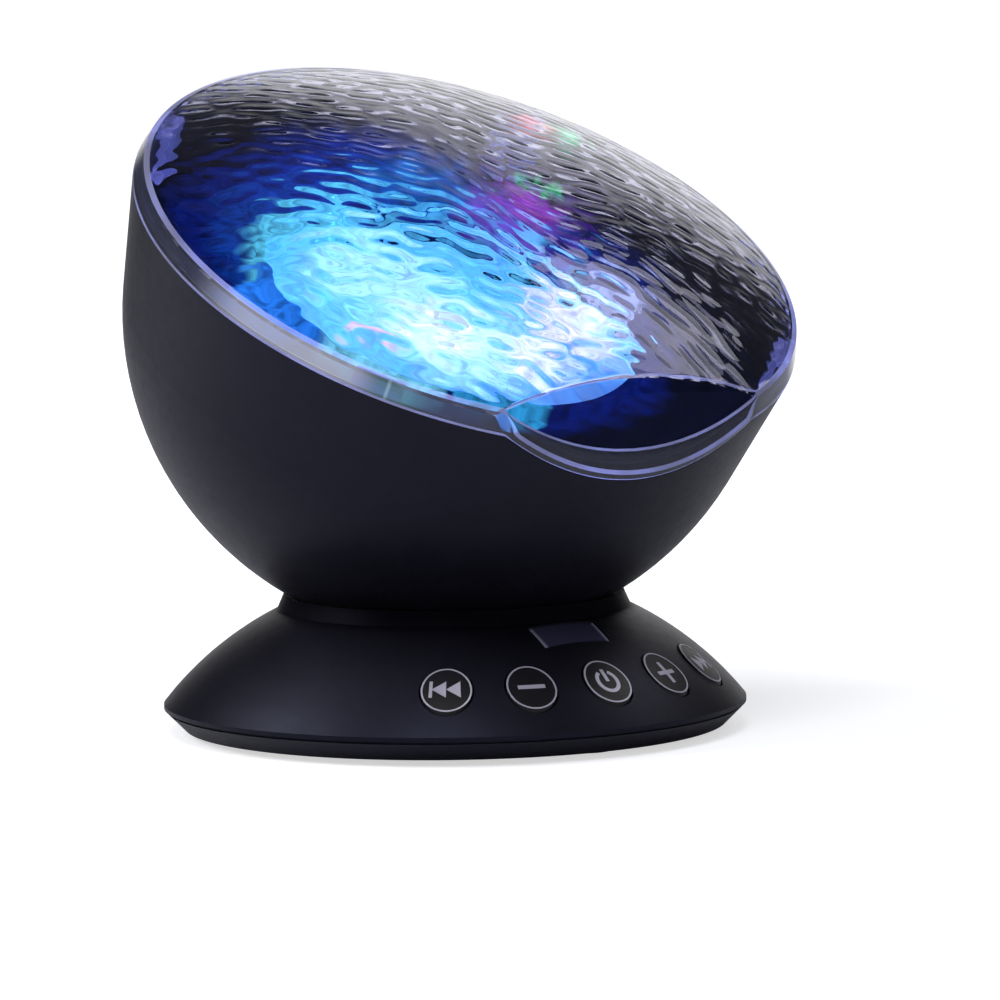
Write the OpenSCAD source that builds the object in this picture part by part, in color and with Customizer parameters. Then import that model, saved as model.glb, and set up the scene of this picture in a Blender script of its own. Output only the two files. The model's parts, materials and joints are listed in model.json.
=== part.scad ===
// Ocean wave projector: a bowl-shaped head that tilts like a ball in the ring of a bell-shaped base.
// Millimetres, Z up. The feet stand on Z = 0 under the middle of the base, and the keys face -Y.
// Head pieces are drawn about the tilt centre with their own axis along Z, then tilted into place.

/* [Base] */
// Radius of the rim, the widest circle of the base
base_rim_r = 53.8; // [52:0.2:56]
// Height of the seam between tray and bell
seam_z = 4.7; // [4.4:0.1:5.4]
// Height of the straight band on the rim
rim_band_h = 0.8; // [0.5:0.1:1.4]
// Radius of the neck, where the bell meets the ball
neck_r = 31.5; // [29:0.1:33]
// Height of the neck above the table
neck_z = 25.2; // [24:0.2:28]
// Height of the steep lip round the neck
neck_lip_h = 2.75; // [2:0.05:3]
// How much wider the lip is at its foot
neck_lip_lean = 1.2; // [0.8:0.1:1.6]
// How far the side of the bell swells beyond a straight line
bell_swell = 1.5; // [1:0.1:2.4]
// Wall of the bell
bell_wall = 2.2; // [1.8:0.1:2.6]
// Thickness of the floor of the tray
tray_floor = 2; // [1.6:0.1:2.2]
// Width of the chamfer round the underside of the tray
tray_chamfer = 3.2; // [2.4:0.1:3.4]
// Wall of the tray at its chamfer
tray_wall = 2.8; // [2.4:0.1:3.2]
// Width and height of the groove along the seam
seam_groove = 0.5; // [0.3:0.1:0.8]

/* [Feet] */
// Height of the feet below the tray
foot_h = 1; // [0.6:0.1:1.4]
// Radius of one outer foot
foot_r = 5; // [4:0.5:6]
// Radius of the foot in the middle
centre_foot_r = 4; // [3:0.5:5]
// Depth of the pocket that holds a foot
foot_pocket = 0.8; // [0.5:0.1:1]
// Distance of the outer feet in from the rim
foot_in = 14; // [13:0.5:16]

/* [Speaker] */
// Radius of the speaker
speaker_r = 18; // [16:0.5:19]
// Depth of the speaker without its magnet
speaker_h = 3.6; // [3:0.1:4]
// Width of the speaker's flange
speaker_flange_w = 3; // [2:0.1:4]
// Thickness of the speaker's flange
speaker_flange_t = 1.4; // [1:0.1:1.8]
// Wall of the speaker's basket
basket_wall = 1; // [0.8:0.1:1.2]
// Radius of the magnet
magnet_r = 9; // [7:0.5:10]
// Height of the magnet
magnet_h = 2.4; // [2:0.1:2.8]
// Thickness of the cone, measured upright
cone_t = 0.6; // [0.4:0.1:0.8]
// Height of the cone
cone_h = 1.2; // [0.8:0.1:1.4]
// Gap between the tray's floor and the cone
cone_lift = 0.4; // [0.3:0.1:0.6]
// Number of sound slots in the tray
slot_count = 7; // [5:2:9]
// Width of a sound slot
sound_slot_w = 1.8; // [1.2:0.1:2.2]
// Width of the rim left round the middle foot
slot_rim = 2; // [1.5:0.1:3]

/* [Boards] */
// Thickness of a circuit board
board_t = 1.2; // [0.8:0.1:1.4]
// Gap between the tray's floor and the main board
board_lift = 0.8; // [0.6:0.1:1.2]
// Distance of the main board's edge in from the rim
board_in = 5; // [4.5:0.1:6]
// Gap between the speaker and the main board
board_speaker_gap = 4; // [3:0.5:6]
// Gap round the bell's screw bosses in the main board
board_boss_gap = 0.6; // [0.4:0.1:1]
// Radius of the pillars under the main board
board_pillar_r = 2.6; // [2.2:0.1:3]

/* [Sockets] */
// Distance of the two rear sockets from the middle plane
socket_x = 9; // [8:0.5:12]
// How far the sockets stand beyond the main board
socket_proud = 0.6; // [0.4:0.1:1]
// Gap round the power socket in the bell
socket_gap = 0.5; // [0.3:0.1:0.8]
// Width of the power socket
usb_w = 7.4; // [7:0.1:8]
// Height of the power socket's mouth
usb_h = 2.6; // [2.4:0.1:3]
// Length of the power socket
usb_l = 6; // [5:0.5:8]
// Wall of the power socket, which is also its height above the board
usb_wall = 0.4; // [0.3:0.05:0.5]
// Thickness of the tongue in the power socket
tongue_t = 0.6; // [0.5:0.05:0.8]
// Gap between the tongue and the side of the power socket
tongue_gap = 0.8; // [0.6:0.1:1.2]
// How far the tongue lies behind the mouth
tongue_in = 1; // [0.5:0.1:1.5]
// Radius of the sound socket's hole
jack_hole_r = 1.8; // [1.7:0.05:1.9]
// Radius of the sound socket's barrel
jack_barrel_r = 2.7; // [2.5:0.1:2.7]
// Length of the sound socket's barrel in front of its body
jack_barrel_l = 6; // [5.8:0.1:7]
// Length of the whole sound socket
jack_l = 12; // [11:0.5:13]
// Width of the sound socket's body
jack_w = 7; // [6.4:0.2:8]
// Height of the sound socket's body
jack_h = 5.6; // [5.4:0.1:6.2]

/* [Keys] */
// Distance of the ring of keys in from the rim
key_in = 7; // [6.6:0.1:8]
// Angle between neighbouring keys
key_step = 18.6; // [17.5:0.1:20]
// Half the width of a key along the ring
key_half_w = 4.6; // [4:0.1:4.8]
// Half the depth of a key in plan, so that it looks nearly round on the slope
key_half_d = 3.8; // [3.2:0.1:4]
// How far a key stands out of the bell
key_proud = 0.25; // [0.1:0.05:0.4]
// How far a key goes down
key_travel = 0.5; // [0.3:0.1:0.5]
// Height of the underside of the keys above the main board
key_over_board = 3.1; // [3:0.1:3.2]
// How far the two lugs that hold a key in stand out
lug_w = 1.3; // [1:0.1:1.5]
// Depth of a lug
lug_d = 2.2; // [1.8:0.1:2.6]
// Height of a lug
lug_h = 1.2; // [1:0.1:1.4]
// How far a lug is sunk into its key
lug_root = 1; // [0.6:0.1:1.4]
// Width of a tact switch
switch_w = 6; // [5:0.2:6.2]
// Radius of a tact switch's button
switch_button_r = 1.6; // [1.2:0.1:2]
// Height of the button above its switch
switch_button_h = 0.6; // [0.4:0.1:0.8]
// Distance of the switches in from the ring of keys
switch_in = 1; // [0.6:0.1:1.4]
// Gap left between switch and key when the key is down
switch_gap = 0.1; // [0.05:0.05:0.2]

/* [Remote window] */
// Width of the dark window for the remote control
ir_w = 14.4; // [12:0.2:16]
// Distance of its lower edge in from the rim
ir_in = 15.5; // [15:0.1:15.7]
// Depth of the window in plan
ir_d = 5.1; // [4:0.1:5.4]
// How far the window is sunk below the bell
ir_sink = 0.2; // [0.1:0.05:0.3]
// Width of the receiver
receiver_w = 5.6; // [5:0.1:6]
// Depth of the receiver
receiver_d = 3.6; // [3:0.1:4]
// Height of the receiver
receiver_h = 6.4; // [5.6:0.1:6.6]
// Height of the receiver above the main board
receiver_lift = 3; // [2:0.1:3]
// Width of one of the receiver's legs
leg_w = 0.6; // [0.5:0.05:0.7]
// Distance between the receiver's legs
leg_pitch = 1.8; // [1.5:0.1:2]

/* [Ball and bowl] */
// Radius of the ball
ball_r = 60; // [58:0.5:62]
// Wall of the bowl
bowl_wall = 2; // [1.6:0.1:2.4]
// Slope of the flared wall above the ball
flare = 10; // [8:0.5:12]
// Height of the bowl's edge above the tilt centre
bowl_edge_z = 11.8; // [10:0.2:14]
// Tilt of the head in its place of rest
head_tilt = 30; // [0:1:30]
// How far the head can tilt from level
tilt_travel = 30; // [20:1:30]
// Gap between ball and neck
neck_gap = 0.6; // [0.3:0.05:0.8]

/* [Ball seat] */
// Depth of the dish under the ball, measured from the ball
dish_gap = 1.2; // [1:0.1:1.6]
// Thickness of the dish
dish_t = 2.2; // [1.8:0.1:2.6]
// Inner radius of the slippery ring
seat_ring_in_r = 22; // [20:0.5:24]
// Distance of the slippery ring's edge in from the neck
seat_ring_in = 2.3; // [2:0.1:3]
// Width of the bolt's flat neck
bolt_neck_w = 14; // [12:0.5:15]
// Length of the bolt's flat neck along the tilt
bolt_neck_l = 4; // [3:0.2:4.4]
// Radius of the bolt's thread
bolt_r = 2; // [1.5:0.1:2]
// Length of the thread beyond the nut
bolt_over = 1; // [0.5:0.1:2]
// Radius of the bolt's flange
bolt_flange_r = 10; // [8:0.5:11]
// Thickness of the bolt's flange
bolt_flange_t = 2; // [1.5:0.1:2.2]
// Width of the pad round the flange under the dish
flange_pad = 1; // [0.8:0.1:2]
// Radius of the wire holes in the bolt's neck
wire_hole_r = 1.3; // [1:0.1:1.4]
// Distance of the wire holes from the middle
wire_hole_x = 4.7; // [4.4:0.1:5]
// Radius of the saddle inside the ball
saddle_r = 13; // [11:0.5:14]
// Least thickness of the saddle
saddle_t = 3.6; // [3:0.1:4.5]
// Thickness of the saddle over the bolt's neck
saddle_cap = 1; // [0.8:0.1:1.4]
// Outer radius of the cupped spring
spring_r = 6; // [5:0.2:7]
// Height of the cupped spring
spring_h = 1.6; // [1.2:0.1:2]
// Thickness of the cupped spring, measured level
spring_leaf = 0.7; // [0.5:0.1:0.9]
// Width across the flats of the nut
nut_af = 7; // [6:0.1:8]
// Height of the nut
nut_h = 3.2; // [2.5:0.1:4]

/* [Dome] */
// Height of the clear skirt
skirt_h = 3.8; // [3:0.2:5]
// How far the skirt leans in over its height
skirt_lean = 1.1; // [0.8:0.1:1.6]
// Rise of the cap above the skirt
dome_rise = 13.6; // [11:0.2:16]
// Wall of the dome
dome_wall = 2; // [1.6:0.1:2.4]
// Angle of the front window's normal from the head's axis
window_angle = 58; // [56:0.5:60]
// Distance of the front face inside the ball's radius
window_in = 4.8; // [4.4:0.1:5.4]
// Thickness of the front face over the bowl's notch
notch_lap = 1; // [0.8:0.1:1.4]
// Depth of the eye-shaped window in the front face
window_depth = 0.6; // [0.3:0.1:0.8]
// Radius of the lower edge of the window
eye_r = 52; // [48:0.5:58]
// How far below the foot of the front face's normal its lower edge lies
eye_drop = 23.8; // [22:0.1:25]
// Angle of the front snap tabs from the front
front_tab_angle = 48; // [45:1:60]
// Angle of the rear snap tabs from the front
rear_tab_angle = 138; // [125:1:145]
// Width of a snap tab
tab_w = 9; // [7:0.5:11]
// Thickness of a snap tab
tab_t = 1.4; // [1.2:0.1:1.8]
// Length of a snap tab below the bowl's edge
tab_l = 7.4; // [6:0.2:8]
// Height of the root that joins a tab to the dome
tab_root = 1.6; // [1.2:0.1:2]
// How far a tab's hook stands out
hook_out = 0.8; // [0.5:0.1:1]
// Height of a hook
hook_h = 1.8; // [1.4:0.1:2.2]
// How far a hook is sunk into its tab
hook_root = 0.4; // [0.2:0.1:0.8]

/* [Deck] */
// Height of the deck's top above the tilt centre
deck_z = 1; // [0:0.2:2]
// Thickness of the deck
deck_t = 2; // [1.6:0.1:2.4]
// How far the light opening lies inside the lens
aperture_in = 0.4; // [0.3:0.1:1]
// Height of the collar round the opening
collar_h = 2; // [1:0.2:3]
// Thickness of the collar
collar_t = 1.6; // [1.2:0.1:2]
// Width of the ledge in the bowl that carries the deck
ledge_w = 3; // [2.4:0.1:3.6]
// Height of the ledge
ledge_h = 3; // [2.4:0.1:4]
// Angle of the deck's screws from the sides
deck_screw_angle = 20; // [15:1:25]
// Wall of the bosses under the deck
deck_boss_wall = 0.8; // [0.6:0.1:1.2]

/* [Wave drive] */
// Module of the gear teeth
gear_module = 1; // [0.9:0.02:1]
// Teeth of the pinion
pinion_teeth = 12; // [12:1:13]
// Play between the teeth
backlash = 0.25; // [0.15:0.05:0.3]
// Gap between the deck and the top of the gear
wheel_under_deck = 2.5; // [2.2:0.1:3]
// Width of the gear's face
gear_face = 4; // [3.5:0.1:4.5]
// How far the pinion's teeth stand beyond the gear's face
pinion_over = 0.5; // [0.3:0.1:0.8]
// Thickness of the lens
lens_t = 2; // [1.6:0.1:2.2]
// Width of the lip that carries the lens
lens_lip = 2; // [1.5:0.1:2.5]
// Wall of the ring between lens and tooth roots
ring_wall = 1.25; // [1:0.05:1.6]
// Distance between the waves of the lens
wave_pitch = 6; // [5:0.2:8]
// Depth of the waves of the lens
wave_depth = 0.5; // [0.3:0.1:0.7]
// Radius of the axle
axle_r = 1.5; // [1.2:0.1:1.8]
// Radius of the lens hub
hub_r = 4.5; // [4:0.1:5]
// Height of the hub above the lens
hub_over = 1; // [0.6:0.1:1.2]
// Thickness of the clip on the axle
clip_t = 0.8; // [0.6:0.1:0.9]
// Width of the clip
clip_w = 1.6; // [1.2:0.1:2]
// Radius of the motor's shaft
shaft_r = 1; // [0.8:0.1:1.2]
// Radius of the motor
motor_r = 6; // [5:0.2:6.4]
// Length of the motor
motor_l = 11; // [9:0.5:12]
// Least gap between the motor and the ball's wall
motor_wall_gap = 1.75; // [1.5:0.05:2.2]
// Height of the motor's nose
nose_h = 0.8; // [0.6:0.1:1.2]
// Wall of the motor's nose
nose_wall = 0.8; // [0.6:0.1:0.9]
// Width of the pad round the motor
motor_pad = 3; // [2.5:0.1:4]

/* [Light carrier] */
// Gap between the gear and the carrier
carrier_under_gear = 3.5; // [3:0.1:4]
// Thickness of the carrier
carrier_t = 2; // [1.6:0.1:2.4]
// Gap between the carrier and the ball's wall
carrier_wall_gap = 5; // [4.6:0.1:5.6]
// Width of the carrier's ring
carrier_band = 8.5; // [8:0.25:9]
// Width of the carrier's four arms
arm_w = 8; // [7:0.5:9]
// Wall of the carrier's hub round the lens hub
carrier_hub_wall = 2; // [1.5:0.1:2.5]
// Radius of the bosses in the bowl that hold the carrier
boss_r = 3.6; // [3.2:0.1:4]
// Length of the pillars that carry the lamp board
pillar_l = 17; // [15:0.5:18]
// Radius of a pillar
pillar_r = 3; // [2.5:0.1:3.4]
// Distance of the pillars in from the lamp board's edge
pillar_in = 5; // [4.5:0.1:6]
// Gap between the lamp board and the ball's wall
led_wall_gap = 9.9; // [9:0.1:11]
// Radius of one lamp
led_r = 2.5; // [2:0.1:2.5]
// Height of one lamp below its round top
led_h = 4; // [3:0.2:5]
// Width of a lamp's flange
led_flange_w = 0.4; // [0.3:0.1:0.5]
// Height of a lamp's flange
led_flange_h = 1; // [0.8:0.1:1.2]
// Lamps on the outer ring
led_outer_count = 8; // [6:1:10]
// Distance of the outer ring of lamps in from the pillars
led_outer_in = 10; // [8:0.5:12]
// Lamps on the inner ring
led_inner_count = 4; // [3:1:5]
// Distance of the inner ring of lamps in from the outer ring
led_inner_in = 13; // [11:0.5:14]
// Width of the wire plug under the lamp board
plug_w = 8; // [6:0.5:10]
// Depth of the wire plug
plug_d = 4.6; // [4:0.1:5]
// Height of the wire plug
plug_h = 5; // [4:0.2:6]
// Distance of the wire plug in from the outer ring of lamps
plug_in = 6; // [4:0.5:8]

/* [Screws] */
// Radius of a screw's shank
screw_r = 1.1; // [0.9:0.05:1.2]
// Radius of a screw's head
screw_head_r = 2.2; // [1.9:0.1:2.4]
// Height of a screw's head
screw_head_h = 1.2; // [1:0.1:1.4]
// Length of the cross in a screw's head
cross_l = 2.6; // [2.2:0.1:3]
// Width of the cross
cross_w = 0.6; // [0.5:0.05:0.8]
// Depth of the cross
cross_d = 0.7; // [0.5:0.1:0.8]
// Length of the hole that a screw bites into
screw_grip = 5; // [4:0.5:6]
// Space left in the hole beyond a screw's tip
screw_tip_gap = 1; // [0.5:0.1:1.5]
// Angle of the base screws from the sides
base_screw_angle = 35; // [30:1:38]
// Distance of the base screws in from the rim
base_screw_in = 6.4; // [6.2:0.1:7]
// Radius of the bell's screw bosses
base_boss_r = 2.8; // [2.6:0.1:3]
// Angle of the main board's rear screws from the sides
board_screw_angle = 62; // [58:1:66]
// Distance of the main board's screws in from its edge
board_screw_in = 14; // [12:0.5:16]
// Floor left in the tray under the main board's screws
board_screw_floor = 0.6; // [0.5:0.1:0.8]
// Radius of the motor screws
motor_screw_r = 0.8; // [0.6:0.1:0.9]
// Radius of a motor screw's head
motor_screw_head_r = 1.5; // [1.2:0.1:1.8]
// Height of a motor screw's head
motor_screw_head_h = 0.9; // [0.7:0.1:1]
// Length of a motor screw in the motor
motor_screw_grip = 2; // [1.5:0.1:2.5]
// Distance of the motor screws in from the motor's side
motor_screw_in = 1.6; // [1.4:0.1:1.8]

/* [Clearances] */
// Gap between curved faces that pass each other
run_gap = 0.3; // [0.2:0.05:0.4]
// Gap round a fixed piece in its hole
fit_gap = 0.15; // [0.1:0.05:0.2]
// Gap between a turning piece and its pin
pin_gap = 0.05; // [0.03:0.01:0.08]
// Gap between a screw or pin and the hole that grips it
grip_gap = 0.02; // [0.01:0.01:0.03]

/* [Hidden] */
$fn = 64;
big = 400;
over = 1;
eps = 0.01;
ball_facets = 96;
dome_facets = 180;

// The bell's side is one arc through the neck and the top of the rim band
rim_top_z = seam_z + rim_band_h;
lip_foot = [neck_r + neck_lip_lean, neck_z - neck_lip_h];
bell_chord = [base_rim_r, rim_top_z] - lip_foot;
bell_chord_l = norm(bell_chord);
bell_arc_r = (bell_chord_l * bell_chord_l / 8 + bell_swell * bell_swell / 2) / bell_swell;
bell_normal = [-bell_chord[1], bell_chord[0]] / bell_chord_l;
bell_mid = ([base_rim_r, rim_top_z] + lip_foot) / 2;
bell_centre = bell_mid + bell_normal * (bell_swell - bell_arc_r);

// Rings in the base, measured in from the rim
foot_ring_r = base_rim_r - foot_in;
main_board_r = base_rim_r - board_in;
main_board_in_r = speaker_r + board_speaker_gap;
key_ring_r = base_rim_r - key_in;
base_screw_ring_r = base_rim_r - base_screw_in;
board_screw_ring_r = main_board_r - board_screw_in;
ir_far_y = base_rim_r - ir_in;
ir_near_y = ir_far_y - ir_d;
seat_ring_r = neck_r - seat_ring_in;

// Heights in the base
tray_z = foot_h;
floor_z = tray_z + tray_floor;
main_board_z = floor_z + board_lift;
main_board_top = main_board_z + board_t;
key_low_z = main_board_top + key_over_board;
switch_top_z = key_low_z - key_travel - switch_gap;
usb_z = main_board_top + usb_wall + usb_h / 2;
jack_z = main_board_top + jack_h / 2;
socket_front_y = main_board_r + socket_proud;
sound_r = speaker_r - speaker_flange_w;

// The ball rests in the neck, so the neck gives the height of the tilt centre
tilt_z = neck_z + sqrt(pow(ball_r + neck_gap, 2) - neck_r * neck_r);
dish_r = ball_r + dish_gap;
dish_out_r = dish_r + dish_t;
dish_low_z = tilt_z - dish_out_r;

// Radius of the holes that screws bite into
pilot_r = screw_r + grip_gap;

// The tilt clamp, from the dish up
flange_top_z = dish_low_z - fit_gap;
inner_ball_r = ball_r - bowl_wall;
saddle_out_r = inner_ball_r - run_gap;
saddle_low_z = tilt_z - saddle_out_r;
saddle_top_z = saddle_low_z + saddle_t;
neck_top_z = saddle_top_z - saddle_cap;
nut_z = saddle_top_z + spring_h;
bolt_top_z = nut_z + nut_h + bolt_over;
slot_slack = asin((bolt_neck_l / 2 + run_gap) / inner_ball_r);

// The bowl's edge and the dome
function flare_radius(r, z) = (r + z * sin(flare)) / cos(flare);
edge_r = flare_radius(ball_r, bowl_edge_z);
edge_in_r = flare_radius(ball_r - dome_wall, bowl_edge_z);
skirt_top_z = bowl_edge_z + skirt_h;
skirt_top_r = edge_r - skirt_lean;
cap_r = (skirt_top_r * skirt_top_r + dome_rise * dome_rise) / (2 * dome_rise);
cap_z = skirt_top_z + dome_rise - cap_r;
window_d = ball_r - window_in;
window_back_d = window_d - window_depth - dome_wall;
notch_d = window_d - notch_lap;
tab_low_z = bowl_edge_z - tab_l;
tab_out_r = flare_radius(inner_ball_r, tab_low_z) - run_gap;

// Heights in the head, and how far the ball's inside reaches at a height
function reach(z) = sqrt(inner_ball_r * inner_ball_r - z * z);
deck_low_z = deck_z - deck_t;
gear_top_z = deck_low_z - wheel_under_deck;
gear_low_z = gear_top_z - gear_face;
carrier_top_z = gear_low_z - carrier_under_gear;
carrier_z = carrier_top_z - carrier_t;
led_board_top = carrier_z - pillar_l;
led_board_z = led_board_top - board_t;

// The wheel is as large as the motor's place beside it lets it be
gear_addendum = 0.9 * gear_module;
gear_dedendum = 1.2 * gear_module;
gear_room = reach(carrier_z - motor_l) - motor_r - motor_wall_gap;
wheel_teeth = floor(2 * gear_room / gear_module) - pinion_teeth;
wheel_pitch_r = gear_module * wheel_teeth / 2;
gear_distance = wheel_pitch_r + gear_module * pinion_teeth / 2;
lens_seat_r = wheel_pitch_r - gear_dedendum - ring_wall;
lens_r = lens_seat_r - fit_gap;
lens_z = gear_low_z + (gear_face - lens_t) / 2;
hub_low_z = gear_low_z - carrier_under_gear / 2;
hub_top_z = lens_z + lens_t + hub_over;
clip_z = hub_top_z + fit_gap;
axle_top_z = clip_z + 2 * clip_t;
motor_screw_x = motor_r - motor_screw_in;

// Rings in the head
aperture_r = lens_r - aperture_in;
deck_r = flare_radius(inner_ball_r, deck_low_z) - run_gap;
ledge_in_r = deck_r - ledge_w;
deck_screw_ring_r = ledge_in_r - screw_head_r / 2;
carrier_ring_r = reach(carrier_z) - carrier_wall_gap;
carrier_ring_in_r = carrier_ring_r - carrier_band;
boss_ring_r = carrier_ring_r - carrier_band / 2;
led_board_r = reach(led_board_z) - led_wall_gap;
pillar_ring_r = led_board_r - pillar_in;
led_outer_r = pillar_ring_r - led_outer_in;
led_inner_r = led_outer_r - led_inner_in;
plug_y = led_outer_r - plug_in;

// Shared shapes

module at_angle(a, r) { rotate(a) translate([r, 0, 0]) children(); }

module ring(r_in, r_out, h) {
    difference() {
        cylinder(r = r_out, h = h);
        translate([0, 0, -over]) cylinder(r = r_in, h = h + 2 * over);
    }
}

module in_head() { translate([0, 0, tilt_z]) rotate([head_tilt, 0, 0]) children(); }

// Screw with its head on top of z = 0, a cross in the head and its shank below
module screw(length) {
    difference() {
        cylinder(r = screw_head_r, h = screw_head_h);
        for (a = [0, 90]) rotate(a) translate([-cross_l / 2, -cross_w / 2, screw_head_h - cross_d])
            cube([cross_l, cross_w, screw_head_h]);
    }
    translate([0, 0, -length]) cylinder(r = screw_r, h = length + eps);
}

// Hole that a screw bites into, downwards from z = 0
module pilot_hole() { translate([0, 0, -screw_grip]) cylinder(r = pilot_r, h = screw_grip + over); }

// Hole that a screw passes through, upwards from z = 0
module pass_hole(t) { translate([0, 0, -over]) cylinder(r = screw_r + fit_gap, h = t + 2 * over); }

// Space in front of a plane whose normal leans from the head's axis to the front
module beyond_front(d) {
    rotate([window_angle, 0, 0]) translate([-big / 2, -big / 2, d]) cube(big);
}

// Lower half of a ball of radius r, with a flared wall that leaves it at a tangent and ends at z = top
module bowl_form(r, top) {
    tangent_z = -r * sin(flare);
    intersection() {
        sphere(r, $fn = ball_facets);
        translate([0, 0, -big]) cylinder(r = big, h = big);
    }
    translate([0, 0, tangent_z])
        cylinder(h = top - tangent_z, r1 = r * cos(flare), r2 = flare_radius(r, top));
}

// Solid under the bell's outer side, drawn in by inset, from z = low up to the lip
module bell_form(inset, low) {
    rotate_extrude() {
        intersection() {
            translate(bell_centre) circle(bell_arc_r - inset, $fn = dome_facets);
            translate([0, low]) square([base_rim_r - inset, lip_foot[1] - low]);
        }
        polygon([
            [0, lip_foot[1] - eps], [lip_foot[0] - inset, lip_foot[1] - eps],
            [neck_r - inset, neck_z], [0, neck_z]
        ]);
    }
}

// Gear outline on involute flanks, with a tooth on the X axis
function involute(base_r, a) = base_r * [cos(a) + a * PI / 180 * sin(a), sin(a) - a * PI / 180 * cos(a)];
function turn(p, a) = [p[0] * cos(a) - p[1] * sin(a), p[0] * sin(a) + p[1] * cos(a)];
function roll_angle(base_r, r) = r <= base_r ? 0 : sqrt(r * r / (base_r * base_r) - 1) * 180 / PI;
function polar_angle(p) = atan2(p[1], p[0]);

module gear_outline(teeth) {
    pressure = 20;
    pitch_r = gear_module * teeth / 2;
    base_r = pitch_r * cos(pressure);
    tip_r = pitch_r + gear_addendum;
    root_r = pitch_r - gear_dedendum;
    half_tooth = 90 / teeth - backlash / 4 / pitch_r * 180 / PI;
    at_pitch = polar_angle(involute(base_r, roll_angle(base_r, pitch_r)));
    flank_radii = [max(base_r, root_r), (pitch_r + base_r) / 2, pitch_r, tip_r];
    flank = [for (r = flank_radii) turn(involute(base_r, roll_angle(base_r, r)), -half_tooth - at_pitch)];
    foot = turn([root_r, 0], polar_angle(flank[0]));
    low_side = concat([foot], flank);
    high_side = [for (k = [len(low_side) - 1 : -1 : 0]) [low_side[k][0], -low_side[k][1]]];
    polygon([for (k = [0 : teeth - 1]) for (p = concat(low_side, high_side)) turn(p, 360 * k / teeth)]);
}

// Base

module base_screw_places() {
    for (a = [base_screw_angle, 180 - base_screw_angle, 180 + base_screw_angle, -base_screw_angle])
        at_angle(a, base_screw_ring_r) children();
}

module board_screw_places() {
    for (a = [0, board_screw_angle, 180 - board_screw_angle, 180]) at_angle(a, board_screw_ring_r) children();
}

module outer_foot_places() { for (a = [0 : 90 : 270]) at_angle(a, foot_ring_r) children(); }

module base_tray() {
    side_r = base_rim_r - seam_groove;
    groove_r = side_r - seam_groove;
    groove_z = seam_z - seam_groove;
    wall_in_r = side_r - tray_wall;
    color("#17161b") {
        difference() {
            rotate_extrude() polygon([
                [0, tray_z], [side_r - tray_chamfer, tray_z],
                [side_r, tray_z + tray_chamfer], [side_r, groove_z],
                [groove_r, groove_z], [groove_r, seam_z],
                [wall_in_r, seam_z], [wall_in_r, floor_z], [0, floor_z]
            ]);
            translate([0, 0, tray_z - over]) {
                linear_extrude(tray_floor + 2 * over) sound_slots();
                outer_foot_places() cylinder(r = foot_r + fit_gap, h = over + foot_pocket);
                cylinder(r = centre_foot_r + fit_gap, h = over + foot_pocket);
                base_screw_places() cylinder(r = screw_head_r + run_gap, h = over + screw_head_h);
            }
            base_screw_places() translate([0, 0, tray_z]) pass_hole(tray_floor);
            board_screw_places() translate([0, 0, tray_z + board_screw_floor])
                cylinder(r = pilot_r, h = tray_floor);
        }
        board_screw_places() translate([0, 0, floor_z - eps]) ring(pilot_r, board_pillar_r, board_lift + eps);
    }
}

module sound_slots() {
    pitch = 2 * sound_r / slot_count;
    difference() {
        intersection() {
            circle(sound_r);
            for (k = [0 : slot_count - 1])
                translate([-sound_r, (k - (slot_count - 1) / 2) * pitch - sound_slot_w / 2])
                    square([2 * sound_r, sound_slot_w]);
        }
        circle(centre_foot_r + slot_rim);
    }
}

// Angle of key number k from the right-hand side, the middle key being at the front
function key_angle(k) = -90 + (k - 2) * key_step;

module key_plan(gap) {
    points = 36;
    polygon([for (k = [0 : points - 1])
        [(key_half_d + gap) * cos(360 * k / points), (key_half_w + gap) * sin(360 * k / points)]]);
}

module ir_plan(gap) {
    translate([-ir_w / 2 - gap, -ir_far_y - gap]) square([ir_w + 2 * gap, ir_d + 2 * gap]);
}

module base_bell() {
    color("#17161b") difference() {
        union() {
            difference() {
                bell_form(0, seam_z);
                difference() {
                    bell_form(bell_wall, seam_z - over);
                    translate([0, 0, tilt_z]) sphere(dish_out_r, $fn = ball_facets);
                }
            }
            intersection() {
                bell_form(bell_wall / 2, floor_z);
                union() {
                    base_screw_places() translate([0, 0, floor_z]) cylinder(r = base_boss_r, h = neck_z);
                    translate([0, 0, dish_low_z]) cylinder(r = bolt_flange_r + flange_pad, h = dish_t);
                }
            }
        }
        translate([0, 0, tilt_z]) sphere(ball_r + neck_gap, $fn = ball_facets);
        intersection() {
            translate([0, 0, tilt_z]) sphere(dish_r, $fn = ball_facets);
            cylinder(r = seat_ring_r + fit_gap, h = big);
        }
        base_screw_places() translate([0, 0, floor_z - over]) cylinder(r = pilot_r, h = screw_grip + over);
        bolt_block(fit_gap, big);
        translate([0, 0, floor_z]) linear_extrude(neck_z) {
            for (k = [0 : 4]) at_angle(key_angle(k), key_ring_r) key_plan(run_gap);
            ir_plan(fit_gap);
        }
        rear_cut(-socket_x, usb_z) square([usb_w + 2 * socket_gap, usb_h + 2 * socket_gap], center = true);
        rear_cut(socket_x, jack_z) circle(jack_barrel_r + fit_gap);
    }
}

// Cut through the rear wall of the bell, along Y, as far in as the sound socket goes
module rear_cut(x, z) {
    translate([x, base_rim_r + over, z]) rotate([90, 0, 0]) linear_extrude(board_in + jack_l) children();
}

module rubber_feet() {
    color("#0c0c0e") {
        outer_foot_places() cylinder(r = foot_r, h = foot_h + foot_pocket);
        cylinder(r = centre_foot_r, h = foot_h + foot_pocket);
    }
}

module base_screws() {
    color("#9a9ca0") base_screw_places() translate([0, 0, tray_z + screw_head_h]) rotate([180, 0, 0])
        screw(tray_floor - screw_head_h + screw_grip - screw_tip_gap);
}

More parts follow.
